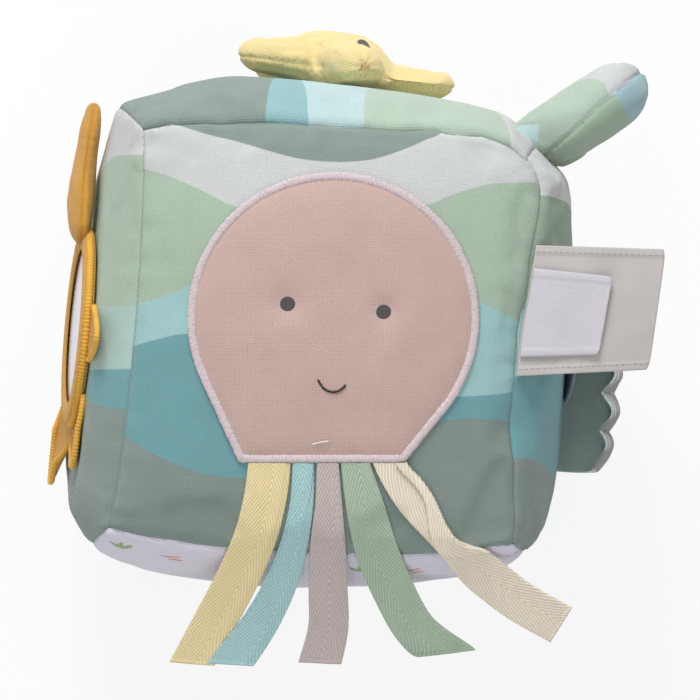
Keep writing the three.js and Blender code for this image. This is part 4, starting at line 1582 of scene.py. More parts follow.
@dataclass
class Rattle(SubAssembly):
    """The moulded capsule and its beads, which keep their solids."""

    def build(self) -> None:
        """Dresses the capsule and the beads."""
        for name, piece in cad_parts.items():
            if name.startswith("rattle_"):
                piece.data.materials.clear()
                piece.data.materials.append(self.finishes.get("bead" if "bead" in name else "rattle"))


# Octopus


@dataclass
class Octopus(SubAssembly):
    """Applied head with a satin-stitched edge, embroidered eyes and smile, and a loose thread."""

    x: float = 2.6
    y: float = 4.9
    radius: float = 43.1
    neck_half: float = 24.4
    neck_x: float = -0.9
    neck_drop: float = 42.6
    rings: int = 46
    cloth: float = 0.5
    stitch_width: float = 2.4
    stitch_height: float = 0.8
    thread_pitch: float = 0.42
    corner_round: float = 1.0
    lift: float = 0.3
    puff: float = 1.5
    eye_hollow: float = 1.5
    eye_reach: float = 4.6
    eyes: Line = ((-10.8, 9.05), (17.5, 6.7))
    eye_half: tuple[float, float] = (2.3, 2.2)
    smile: Line = ((-1.9, -13.3), (-0.2, -15.8), (2.4, -16.9), (4.8, -16.2), (6.2, -14.8))
    loose: Line = ((-3.8, -32.2), (-1.5, -31.7), (1.2, -31.2))

    def outline(self, spacing: float) -> tuple[list[Vector], list[Vector]]:
        """The patch's edge, with its corners rounded.

        Args:
            spacing: how far apart the points are.

        Returns:
            The points and the direction into the patch at each.
        """
        centre = Vector((self.x, self.y, 0))
        left = Vector((self.neck_x - self.neck_half, self.y - self.neck_drop, 0))
        right = Vector((self.neck_x + self.neck_half, self.y - self.neck_drop, 0))

        def tangent(corner: Vector, side: int) -> float:
            """The turn at which a line from a corner meets the circle."""
            away = corner - centre
            return math.atan2(away.y, away.x) + side * math.acos(min(1.0, self.radius / away.length))

        start, end = tangent(right, 1), tangent(left, -1) + TURN
        arc = [lerp(start, end, step / 120) for step in range(121)]
        rough = [centre + Vector((math.cos(turn), math.sin(turn), 0)) * self.radius for turn in arc]
        points = even_path([*rough, left, right], spacing, closed=True)
        reach = max(1, round(self.corner_round / spacing))
        count = len(points)
        smooth, inward = [], []
        for step in range(count):
            near = [points[(step + shift) % count] for shift in range(-reach, reach + 1)]
            smooth.append(sum(near, Vector()) / len(near))
        for step in range(count):
            along = smooth[(step + 3) % count] - smooth[step - 3]
            inward.append(Vector((-along.y, along.x, 0)).normalized())
        return smooth, inward

    def height(self, x: float, y: float) -> float:
        """Height of the cover under a place, drawn in round the eyes."""
        hollows = sum(bell(math.hypot(x - eye_x, y - eye_y), self.eye_reach) for eye_x, eye_y in self.eyes)
        return self.surface.at(Face.FRONT, x, y).z - self.eye_hollow * hollows

    def on_head(self, x: float, y: float, off: float) -> Vector:
        """A place on the head's cloth, or a little off it."""
        return Vector((x, y, self.height(x, y) + self.lift + self.puff + off))

    def head(self) -> None:
        """Makes the head's cloth."""
        edge, inward = self.outline(1.2)
        rim = [point + side * (self.stitch_width * 0.55) for point, side in zip(edge, inward)]
        middle = Vector((self.x - 0.5, self.y - self.neck_drop * 0.25, 0))
        count = len(rim)

        def flat(u: float, v: float) -> Vector:
            """A place on the flat patch."""
            return middle.lerp(rim[round(u * count) % count], v)

        def place(u: float, v: float) -> Vector:
            """The same place on the plump cloth.

            Args:
                u: the first share.
                v: the second share.

            Returns:
                The point, in millimetres.
            """
            spot = flat(u, v)
            left = (1 - v) * (rim[round(u * count) % count] - middle).length
            plump = self.puff * (1 - math.exp(-left / 3.0)) + 0.1 * ripple(spot.x / 7, spot.y / 7, 5)
            plump += 0.45 * ripple(spot.x / 17, spot.y / 17, 9) * (1 - math.exp(-left / 6.0))
            return Vector((spot.x, spot.y, self.height(spot.x, spot.y) + self.lift + plump))

        mesh = shaped_grid(count, self.rings, place, lambda u, v: tuple(flat(u, v).xy))
        piece = self.make_sheet(mesh, "octopus_head_cloth", "octopus", "octopus_jersey", ["octopus_head"], "block",
                                self.cloth)

    def edging(self) -> None:
        """Makes the satin stitches round the head, four steps to a thread."""
        edge, inward = self.outline(self.thread_pitch / 4)
        path, widths, heights = [], [], []
        for step in range(len(edge) // 4 * 4):
            thread = step // 4
            ridge = math.sin(math.pi * ((step % 4) + 0.5) / 4)
            stray = 0.18 * ripple(thread * 0.83, 1.7)
            spot = edge[step] + inward[step] * (self.stitch_width / 2 + stray)
            spot.z = self.surface.at(Face.FRONT, spot.x, spot.y).z + self.lift + 0.35
            path.append(spot)
            widths.append(self.stitch_width / 2 + 0.12 * ripple(thread * 1.37, 9.1) + 0.05 * ridge)
            heights.append(self.stitch_height * (0.82 + 0.18 * ridge))
        mesh = tube(path, UP, lambda k: widths[k], lambda k: heights[k], sides=10, closed=True)
        self.make(mesh, "octopus_satin_edge", "satin", "satin_stitch", ["octopus_edging"], "block")

    def eye(self, side: str, x: float, y: float) -> None:
        """Makes one embroidered eye.

        Args:
            side: which one.
            x: its middle across the head.
            y: its middle up the head.
        """
        wide, tall = self.eye_half

        def place(u: float, v: float) -> Vector:
            """A place on the eye's threads.

            Args:
                u: the first share.
                v: the second share.

            Returns:
                The point, in millimetres.
            """
            ragged = v * (1 + 0.05 * math.sin(23 * TURN * u) * v)
            dx, dy = polar(u, wide * ragged, tall * ragged)
            ridge = 0.05 * abs(math.sin(math.pi * (y + dy) / 0.42))
            return self.on_head(x + dx, y + dy, 0.45 * dome(v) + ridge - 0.05)

        def plan(u: float, v: float) -> tuple[float, float]:
            """The same place, laid flat."""
            dx, dy = polar(u, wide * v, tall * v)
            return x + dx, y + dy

        self.make_sheet(shaped_grid(48, 14, place, plan), f"octopus_eye_{side}", "eye", "octopus_jersey", (), "block",
                        0.35)

    def threads(self) -> None:
        """Makes the smile's stitches and the loose thread."""
        path = sewn_path(self.smile, 40, 1.0)
        stitches = []
        for low, high in zip(path, path[1:]):
            middle = (low + high) / 2
            stitches.append(capsule(self.on_head(middle.x, middle.y, 0.15), (high - low).normalized(), UP, 0.74, 0.4))
        self.make(join(stitches), "octopus_smile", "smile", "octopus_jersey", body="block")
        points = [self.on_head(point.x, point.y, 0.25 + 0.1 * math.sin(index * 0.5))
                  for index, point in enumerate(sewn_path(self.loose, 20, 0.25))]
        mesh = tube(points, UP, lambda k: 0.2, lambda k: 0.18, sides=6)
        self.make(mesh, "octopus_loose_thread", "white_thread", "satin_stitch", body="block")

    def build(self) -> None:
        """Makes the octopus's head."""
        self.head()
        self.edging()
        for side, (x, y) in zip(("left", "right"), self.eyes):
            self.eye(side, x, y)
        self.threads()


# Tape legs


@dataclass(frozen=True)
class TapeCourse:
    """One leg: its middle line, with the share of its width that shows, and how it folds, meets and ends."""

    name: str
    course: tuple[tuple[float, float, float], ...]
    point: float
    fold: int = 0
    over: bool = False
    selvedge: float = 0.0
    square: float = 0.0

    def phase(self) -> float:
        """A steady number for its name."""
        return sum(ord(letter) for letter in self.name) * 0.37


@dataclass
class TapeLegs(SubAssembly):
    """Five herringbone tapes sewn under the octopus's lower edge."""

    width: float = 12.7
    thickness: float = 0.6
    neck_x: float = -0.9
    root_y: float = -38.4
    tuck: float = 0.55
    leg_drop: float = 62.0
    edge_x: float = 54.0
    edge_y: float = -60.0
    hinge_z: float = 148.9
    hinge_reach: float = 8.0
    slope: float = 0.62
    curl: float = 0.3
    lift: float = 0.5
    middle_rise: float = 0.68
    fold_over: float = 0.72
    fold_under: float = -0.66
    rib_height: float = 0.11
    rib_pitch: float = 2.1
    rib_slope: float = 2.3
    hem_height: float = 0.28
    steps: int = 190
    side_steps: int = 34

    COURSES = (
        TapeCourse("yellow", ((-0.247, 0, 1), (-0.269, 0.163, 1), (-0.321, 0.357, 1), (-0.411, 0.563, 1),
                              (-0.515, 0.76, 1), (-0.638, 0.99, 1)), 7.6, selvedge=1.3, square=0.85),
        TapeCourse("aqua", ((-0.086, 0, 0.5), (-0.094, 0.18, 0.55), (-0.131, 0.377, 0.64), (-0.196, 0.575, 0.76),
                            (-0.302, 0.78, 0.86), (-0.452, 0.99, 0.95)), 9.5, fold=-1, selvedge=1.7, square=0.9),
        TapeCourse("grey", ((0.03, 0, 0.51), (0.034, 0.187, 0.63), (0.03, 0.389, 0.83), (0.03, 0.606, 0.92),
                            (0.03, 0.8, 0.95), (-0.012, 0.98, 1)), 6.2, fold=1, square=0.85),
        TapeCourse("green", ((0.162, 0, 0.68), (0.21, 0.21, 0.9), (0.262, 0.41, 1), (0.347, 0.619, 1),
                             (0.452, 0.807, 1), (0.605, 0.935, 1)), 5.4, fold=1, square=0.8),
        TapeCourse("cream", ((0.32, 0, 0.76), (0.449, 0.186, 0.8), (0.597, 0.391, 0.5), (0.753, 0.512, 0.97),
                             (0.946, 0.665, 1), (1.165, 0.793, 1)), 7.0, fold=1, over=True),
    )

    def rest_height(self, x: float, y: float) -> float:
        """Height of a tape's underside over a place.

        Args:
            x: the place across.
            y: the place up.

        Returns:
            The height, in millimetres.
        """
        past = max(0.0, self.edge_y - y)
        rest = self.surface.at(Face.FRONT, min(x, self.edge_x), max(y, self.edge_y)).z
        return rest - self.slope * past * (1 - self.curl * past / self.leg_drop)

    def tape(self, tape: TapeCourse) -> None:
        """Makes one tape.

        Args:
            tape: its course.
        """
        course = [(self.neck_x + x * self.leg_drop, self.root_y - y * self.leg_drop, share * self.width)
                  for x, y, share in tape.course]
        length = run_lengths([spline(course, step / 60).xy for step in range(61)])[-1]

        def place(u: float, v: float) -> Vector:
            """A place on the tape's outside.

            Args:
                u: the first share.
                v: the second share.

            Returns:
                The point, in millimetres.
            """
            here = spline(course, u)
            along = (spline(course, min(1, u + 0.01)).xy - spline(course, max(0, u - 0.01)).xy).normalized()
            across = Vector((1, 0)).lerp(Vector((-along.y, along.x)), smoothstep(u, 0, 0.2)).normalized()
            shown = min(self.width, here.z)
            arc = v * self.width
            offset = self.width - arc if tape.fold < 0 else arc
            level = 0.0
            if tape.fold and offset > shown:
                back = offset - shown
                offset = shown - max(0.0, back - 0.3)
                level = (self.fold_over if tape.over else self.fold_under) * smoothstep(back, 0, 0.9)
            offset = shown - offset if tape.fold < 0 else offset
            shift = -tape.square * along.x / along.y * (offset - shown / 2) * smoothstep(u, 0.72, 1)
            spot = here.xy + across * (offset - shown / 2) + along * shift
            spot.y += self.tuck * (1 - smoothstep(u, 0, 0.06))
            edge = min(arc, self.width - arc)
            rib = math.sin(TURN * (u * length - self.rib_slope * abs(arc - tape.point)) / self.rib_pitch)
            height = self.lift + self.middle_rise + level + self.rib_height * rib * smoothstep(edge, 0.0, 0.8)
            if tape.selvedge:
                height -= 0.38 * smoothstep(arc, self.width - tape.selvedge - 0.35, self.width - tape.selvedge)
            height += self.hem_height * bell((1 - u) * length - 0.8, 0.7) - 0.25 * math.exp(-edge / 0.4)
            wave = 0.25 * ripple(u * 5, tape.phase(), 2.0) + 0.12 * ripple(u * 14, v * 2, 4.0)
            height += wave * smoothstep(u, 0.1, 0.5)
            return Vector((spot.x, spot.y, self.rest_height(spot.x, spot.y) + height))

        mesh = shaped_grid(self.steps, self.side_steps, place, lambda u, v: (v * self.width, u * length), weld=0)
        node = f"ribbon_{tape.name}"
        piece = self.make_sheet(mesh, f"tape_{tape.name}", tape.name, f"tape_{tape.name}", [node], None,
                                self.thickness)
        hinge = Vector((0, self.root_y, self.hinge_z))
        blend_mm(piece, hinge)

    def build(self) -> None:
        """Makes the five tapes."""
        for course in self.COURSES:
            self.tape(course)


# Starfish


@dataclass
class Starfish(SubAssembly):
    """Stuffed starfish of two jersey faces with a side seam, on a round anchor."""

    reach: float = 37.5
    belly: float = 6.0
    seat: float = 0.6
    anchor_top: float = 1.3
    anchor_radius: float = 7.0
    turn: float = 12.0
    tilt: float = -7.5
    arms: int = 5
    overlap: float = 0.35
    voxel: float = 1.15
    smoothing: int = 4
    swell_cap: float = 0.9
    groove: float = 0.45
    pucker: float = 0.25
    gather: float = 0.4
    dent: float = 0.9
    lump: float = 0.4
    eye_half: tuple[float, float] = (2.1, 2.6)
    eyes: tuple[tuple[str, float, float], ...] = (("near", 6.4, 12.6), ("far", 9.6, -7.0))
    top_line: Line = (
        (-20, 0), (-12, 0.8), (-7.5, 1.5), (-2, 1.0), (2, 0.8), (8, 0.9), (13, 0.8), (16.5, 0.2), (19, -0.8),
        (21.5, -3.0), (24, -3.2), (30, -2.8), (35, -2.5), (38, -1.2), (50, 0))

    def __post_init__(self) -> None:
        """Works out the starfish's own frame and the arm that points at the camera."""
        seat = self.form.over(Face.TOP, self.form.starfish_z, self.form.starfish_x)
        seat.y += self.anchor_top + self.seat + self.belly
        self.matrix = Matrix.Translation(seat) @ Matrix.Rotation(math.radians(self.tilt), 4, "Z")
        self.back = self.matrix.inverted()
        self.heading = math.radians(self.turn) - math.pi / 2
        self.nodes = ["starfish_body", *(f"starfish_arm_{arm + 1}" for arm in range(self.arms))]

    def tip(self, reach: float) -> Vector:
        """A place along the arm that points at the camera."""
        return Vector((math.cos(self.heading), 0, -math.sin(self.heading))) * reach

    def anchor(self) -> None:
        """Makes the round anchor that it is sewn on."""
        def place(u: float, v: float) -> Vector:
            """A place on the anchor's skin.

            Args:
                u: the first share.
                v: the second share.

            Returns:
                The point, in millimetres.
            """
            ring = math.sin(math.pi / 2 * (1 - abs(2 * v - 1)))
            x, z = polar(u, self.anchor_radius * ring)
            rise = 0.35 if v < 0.5 else 0.95 + 0.2 * dome(ring)
            spot = self.surface.at(Face.TOP, self.form.starfish_z + z, self.form.starfish_x + x)
            return spot + Vector((0, lerp(0.65, rise, dome(ring * ring)), 0))

        piece = self.make(shaped_grid(48, 12, place, lambda u, v: polar(u, 20 * v)), "starfish_anchor_disc",
                          "starfish", "starfish_jersey", ["starfish_anchor"], "block")

    def plush(self) -> None:
        """Makes the stuffed body and arms in one skin, from the solids that it stands for."""
        piece = one_skin(self.nodes, "starfish_plush", self.voxel, self.overlap, self.smoothing)
        low = self.matrix.translation.y - self.belly
        swell(piece, lambda place: 0.0 if place.y < low + 1.5 else self.swell_cap)
        refine(piece)
        reshape(piece, self.sewn)

        def plan(place: Vector) -> tuple[float, float]:
            """A place on the skin, laid flat."""
            local = self.back @ place
            return local.x + 0.25 * local.y, local.y * 0.9 - local.z

        unroll(piece, plan)
        self.dress(piece, "starfish", "starfish_jersey", self.nodes, "starfish")

    def sewn(self, place: Vector, normal: Vector) -> Vector:
        """The skin's place with its side seam drawn in and puckered, and the tip of one arm gathered.

        Args:
            place: a place on the skin.
            normal: the way it faces.

        Returns:
            The new place.
        """
        local = self.back @ place
        turn = math.atan2(-local.z, local.x)
        off = (turn - self.heading + math.pi) % TURN - math.pi
        front = smoothstep(0.42 - abs(off), -0.1, 0.1)
        from_tip = local - self.tip(self.reach)
        side = Vector((math.sin(-self.heading), 0, -math.cos(self.heading)))
        spread = math.atan2(local.y, from_tip.dot(side))
        rim = smoothstep(abs((self.back.to_3x3() @ normal).y), 0.85, 0.3) * (1 - front)
        height = self.pucker * ripple(turn * 26, local.y * 0.05) * bell(local.y, 3.0) * rim
        height -= self.groove * bell(local.y, 0.55) * rim
        height += self.gather * math.cos(9 * spread) * math.exp(-from_tip.length / 4.5) * front
        height -= self.dent * bell(from_tip.length, 2.2) * front
        moved = place + normal * (height + self.lump * ripple(*(local / 9)))
        moved.y += line_height(self.top_line, moved.x) * smoothstep(local.y, -1.5, 4.5)
        return moved

    def on_plush(self, x: float, z: float) -> Vector:
        """The upper face over a place in the starfish's own plane, by a ray through the finished skin.

        Args:
            x: the place across.
            z: the place towards the camera.

        Returns:
            The point, in millimetres.
        """
        way = self.matrix.to_3x3() @ Vector((0, -1, 0))
        hit, spot, _, _ = bpy.data.objects["starfish_plush"].ray_cast((self.matrix @ Vector((x, 60, z))) * MM, way)
        return spot / MM if hit else self.matrix @ Vector((x, 12, z))

    def eye(self, side: str, x: float, z: float) -> None:
        """Makes one small embroidered eye on the upper face.

        Args:
            side: which one.
            x: its middle along the starfish.
            z: its middle towards the camera.
        """
        def place(u: float, v: float) -> Vector:
            """A place on the eye's threads."""
            dx, dz = polar(u, self.eye_half[0] * v, self.eye_half[1] * v)
            return self.on_plush(x + dx, z + dz) + Vector((0, 0.15 + 0.4 * dome(v), 0))

        self.make_sheet(shaped_grid(32, 8, place, lambda u, v: polar(u, 2 * v)), f"starfish_eye_{side}", "eye",
                        "starfish_jersey", (), "starfish", 0.3, Vector((0, 1, 0)))

    def tip_threads(self) -> None:
        """Makes the few coloured threads at the tip of the arm nearest the camera."""
        tip = self.tip(self.reach - 0.7)
        threads = []
        for shift, lean in ((-0.9, 0.3), (0.2, -0.2), (1.1, 0.5)):
            spot = self.matrix @ (tip + Vector((shift, 0.4 + lean, 0.0)))
            threads.append(capsule(spot, Vector((0.4, 1, 0.1 * lean)), UP, 0.9, 0.22))
        self.make(join(threads), "starfish_tip_threads", "coral_thread", "starfish_jersey", body="starfish")

    def build(self) -> None:
        """Makes the starfish."""
        self.anchor()
        self.plush()
        for eye in self.eyes:
            self.eye(*eye)
        self.tip_threads()


# Mirror


@dataclass(frozen=True)
class Lobe:
    """One flat lobe: its turn from up towards the octopus, its length and how its tip curls."""

    name: str
    turn: float
    share: float
    body: str
    curl: float
    width: float = 1.0


@dataclass
class StarMirror(SubAssembly):
    """Starfish mirror: backing, film, ring, four flat lobes with overlocked edges and a stuffed arm."""

    lobe_root: float = 27.0
    lobe_thickness: float = 1.6
    lobe_hinge: tuple[float, float, float] = (-71.88, 2.23, 120.2)
    arm_turn: float = 4.0
    arm_reach: float = 70.0
    arm_lift: float = 1.3
    arm_half_widths: tuple[float, float] = (13.0, 5.6)
    arm_half_depth: float = 2.9
    arm_swell_cap: float = 0.6
    spokes: int = 120
    rings: int = 10
    overlock_pitch: float = 1.15

    LOBES = (
        Lobe("near", 93, 0.6, "block", 0.0, 0.6),
        Lobe("low_front", 156, 0.5, "mirror", 1.0),
        Lobe("low_back", 212, 0.9, "mirror", 3.5),
        Lobe("back", 290, 0.62, "mirror", 0.0, 0.9),
    )

    def __post_init__(self) -> None:
        """Keeps the mirror's frame at hand."""
        self.place = self.form.mirror
        self.matrix = self.place.matrix()
        self.arm_start = self.place.rim_radius - 5

    def set_in(self, mesh: Mesh, name: str, finish: str = "mustard", slot: str = "mirror_jersey",
               nodes: Sequence[str] = (), body: Optional[str] = "mirror") -> Piece:
        """Makes a piece of a mesh in the mirror's frame, as make does."""
        bmesh.ops.transform(mesh, matrix=self.matrix, verts=mesh.verts)
        return self.make(mesh, name, finish, slot, nodes, body)

    def disc(self, radius: float, front: float, back: float, crown: float) -> Mesh:
        """A closed round sheet with a soft edge.

        Args:
            radius: its radius.
            front: the height of its front.
            back: the height of its back.
            crown: how far its front rises at the middle.

        Returns:
            The mesh in the mirror's frame.
        """
        def ring(v: float) -> float:
            """The share of the radius that a share of the section's length reaches."""
            return math.sin(math.pi / 2 * (1 - abs(2 * v - 1)))

        def place(u: float, v: float) -> Vector:
            """A place on the sheet's skin.

            Args:
                u: the first share.
                v: the second share.

            Returns:
                The point, in the mirror's frame.
            """
            share = ring(v)
            side, rise = (front, crown * (1 - share * share)) if v > 0.5 else (back, 0.0)
            return Vector((*polar(u, radius * share), lerp((front + back) / 2, side, dome(share ** 4)) + rise))

        def plan(u: float, v: float) -> tuple[float, float]:
            """The same place, laid flat."""
            x, y = polar(u, radius * ring(v))
            return x + (90 if v > 0.5 else 0), y

        return shaped_grid(self.spokes, 2 * self.rings, place, plan)

    def face(self) -> None:
        """Makes the backing, the film and the ring round it."""
        spot = self.place
        piece = self.set_in(self.disc(spot.rim_radius, spot.backing_front, spot.backing_back, 0.0),
                            "mirror_backing_cloth", nodes=["mirror_backing"])
        self.set_in(self.disc(spot.film_radius, -0.3, -0.9, 0.5), "mirror_soft_film", "mirror", "mirror_film",
                    ["mirror_film"])
        mid = (spot.opening_radius + spot.rim_radius) / 2
        half = (spot.rim_radius - spot.opening_radius) / 2

        def ring(u: float, v: float) -> Vector:
            """A place on the ring's cloth.

            Args:
                u: the first share.
                v: the second share.

            Returns:
                The point, in the mirror's frame.
            """
            across, rise = polar(v, half, 0.9)
            crease = 0.12 * math.sin(TURN * u * 60 + 2 * math.sin(TURN * u * 3)) * max(0.0, across / half)
            return Vector((*polar(u, mid + across), 0.35 + (rise if rise > 0 else rise * 0.25 / 0.9) + crease))

        piece = self.set_in(shaped_grid(360, 14, ring, lambda u, v: (u * TURN * mid, v * 4 * half)),
                            "mirror_ring_cloth", nodes=["mirror_frame"])
        edge = [Vector((*polar(step / 680, spot.rim_radius - 0.2), -0.75)) for step in range(680)]
        self.overlock(edge, "mirror_rim_overlock", 1.1, 1.35, True, "mirror")

    def overlock(self, path: list[Vector], name: str, wide: float, high: float, closed: bool,
                 body: Optional[str]) -> Piece:
        """Makes a bound edge of thick threads.

        Args:
            path: its middle line in the mirror's frame.
            name: the piece's name.
            wide: half its width.
            high: half its height.
            closed: whether it is a ring.
            body: the body that it rides on, or None where it rides on none.

        Returns:
            The piece.
        """
        beat = self.overlock_pitch / (path[1] - path[0]).length
        waves = [abs(math.sin(math.pi * index / beat)) for index in range(len(path))]
        mesh = tube(path, UP, lambda k: wide * (0.68 + 0.32 * waves[k]), lambda k: high * (0.66 + 0.34 * waves[k]),
                    closed=closed, jitter=0.08)
        return self.set_in(mesh, name, "gold_thread", body=body)

    def lobe(self, lobe: Lobe) -> None:
        """Makes one flat lobe and its bound edge.

        Args:
            lobe: which one.
        """
        turn = Matrix.Rotation(math.pi / 2 - math.radians(lobe.turn), 4, "Z")
        start = self.place.rim_radius + 0.3
        width, length = self.lobe_root * lobe.width, lobe.share * self.place.rim_radius
        body = None if lobe.body == "block" else lobe.body

        def spot(u: float, side: float) -> Vector:
            """A place on the lobe's middle.

            Args:
                u: the first share.
                side: share across it, from -1 to 1.

            Returns:
                The point, along the lobe's own way.
            """
            across = side * (width / 2) * math.sqrt(1 - 0.55 * u * u)
            out = math.sqrt(start * start - across * across) + u * length * (1 - 0.45 * side * side)
            height = lobe.curl * u * u + 0.35 * ripple(out / 9, across / 9, lobe.turn) if body else 0
            return Vector((out, across, self.place.lobe_back + self.lobe_thickness / 2 + height))

        def place(u: float, v: float) -> Vector:
            """A place on the lobe's skin.

            Args:
                u: the first share.
                v: the second share.

            Returns:
                The point, along the lobe's own way.
            """
            side = 1 - 2 * abs(2 * v - 1)
            point = spot(u, side)
            full = math.sqrt(max(0.0, min(1.0, min(1 - u, (1 - abs(side)) * 2, 1.0) * 6)))
            point.z += (1 if v < 0.5 else -1) * (self.lobe_thickness / 2 - 0.1) * full
            return point

        mesh = shaped_grid(28, 48, place, lambda u, v: (u * 30, 27 * (1 - abs(2 * v - 1)) + (60 if v < 0.5 else 0)))
        bmesh.ops.holes_fill(mesh, edges=mesh.edges, sides=0)
        bmesh.ops.recalc_face_normals(mesh, faces=mesh.faces)
        bmesh.ops.transform(mesh, matrix=turn, verts=mesh.verts)
        piece = self.set_in(mesh, f"mirror_lobe_{lobe.name}_cloth", nodes=[f"mirror_lobe_{lobe.name}"], body=body)
        outline = [spot(step / 24, -1) for step in range(25)]
        outline += [spot(1, -1 + step / 12) for step in range(1, 24)]
        outline += [spot(1 - step / 24, 1) for step in range(25)]
        path = [turn @ point for point in even_path(outline, 0.28)]
        edge = self.overlock(path, f"mirror_lobe_{lobe.name}_overlock", 0.85, 1.0, False, body)
        if body is None:
            hinge = Vector(self.lobe_hinge)
            way = self.matrix.to_3x3() @ RIGHT
            for part in (piece, edge):
                blend_mm(part, hinge - way * 0.5)

    def arm_rise(self, u: float) -> float:
        """Height of the stuffed arm's seam along it."""
        return self.arm_lift + math.sin(math.pi * min(1, max(0, u) * 1.1)) - 0.6 * u * u

    def arm(self) -> None:
        """Makes the stuffed arm with its seam towards the camera."""
        span = self.arm_reach - self.arm_start

        def place(u: float, v: float) -> Vector:
            """A place on the arm's skin.

            Args:
                u: the first share.
                v: the second share.

            Returns:
                The point, along the arm's own way.
            """
            full = dome(max(0.0, (u - 0.8) / 0.2)) * dome(max(0.0, 1 - u / 0.16))
            half_width = lerp(*self.arm_half_widths, smoothstep(u, 0.1, 1.0)) * full
            half_depth = (self.arm_half_depth + bell(u - 0.33, 0.2)) * full
            pillow, across = polar(v, 1.0)
            rise = self.arm_rise(u) + half_depth * rounded(pillow, 0.8)
            return Vector((self.arm_start + u * span, half_width * across, rise))

        matrix = self.matrix @ Matrix.Rotation(math.pi / 2 - math.radians(self.arm_turn), 4, "Z")
        mesh = shaped_grid(48, 48, place, lambda u, v: (u * 44, v * 52))
        bmesh.ops.transform(mesh, matrix=matrix, verts=mesh.verts)
        piece = to_object(mesh, "mirror_stuffed_arm_plush")
        swell(piece, lambda place: self.arm_swell_cap)
        refine(piece)
        back = matrix.inverted()

        def sewn(place: Vector, normal: Vector) -> Vector:
            """The skin's place with its seam drawn in and puckered.

            Args:
                place: a place, in millimetres.
                normal: the way it faces there.

            Returns:
                The point, in millimetres.
            """
            local = back @ place
            u = (local.x - self.arm_start) / span
            level = local.z - self.arm_rise(u)
            rim = smoothstep(abs(local.y), 2.5, 6.0) if u < 0.9 else 1.0
            pucker = 0.3 * ripple(local.x / 1.6, 4.0) * bell(level, 3.0) * rim
            return place + normal * (pucker - 0.65 * bell(level, 0.75) * rim + 0.25 * ripple(*(local / 7)))

        reshape(piece, sewn)
        self.dress(piece, "mustard", "mirror_jersey", ["mirror_stuffed_arm"], "mirror")

    def build(self) -> None:
        """Makes the mirror."""
        self.face()
        for lobe in self.LOBES:
            self.lobe(lobe)
        self.arm()


# Shell flap


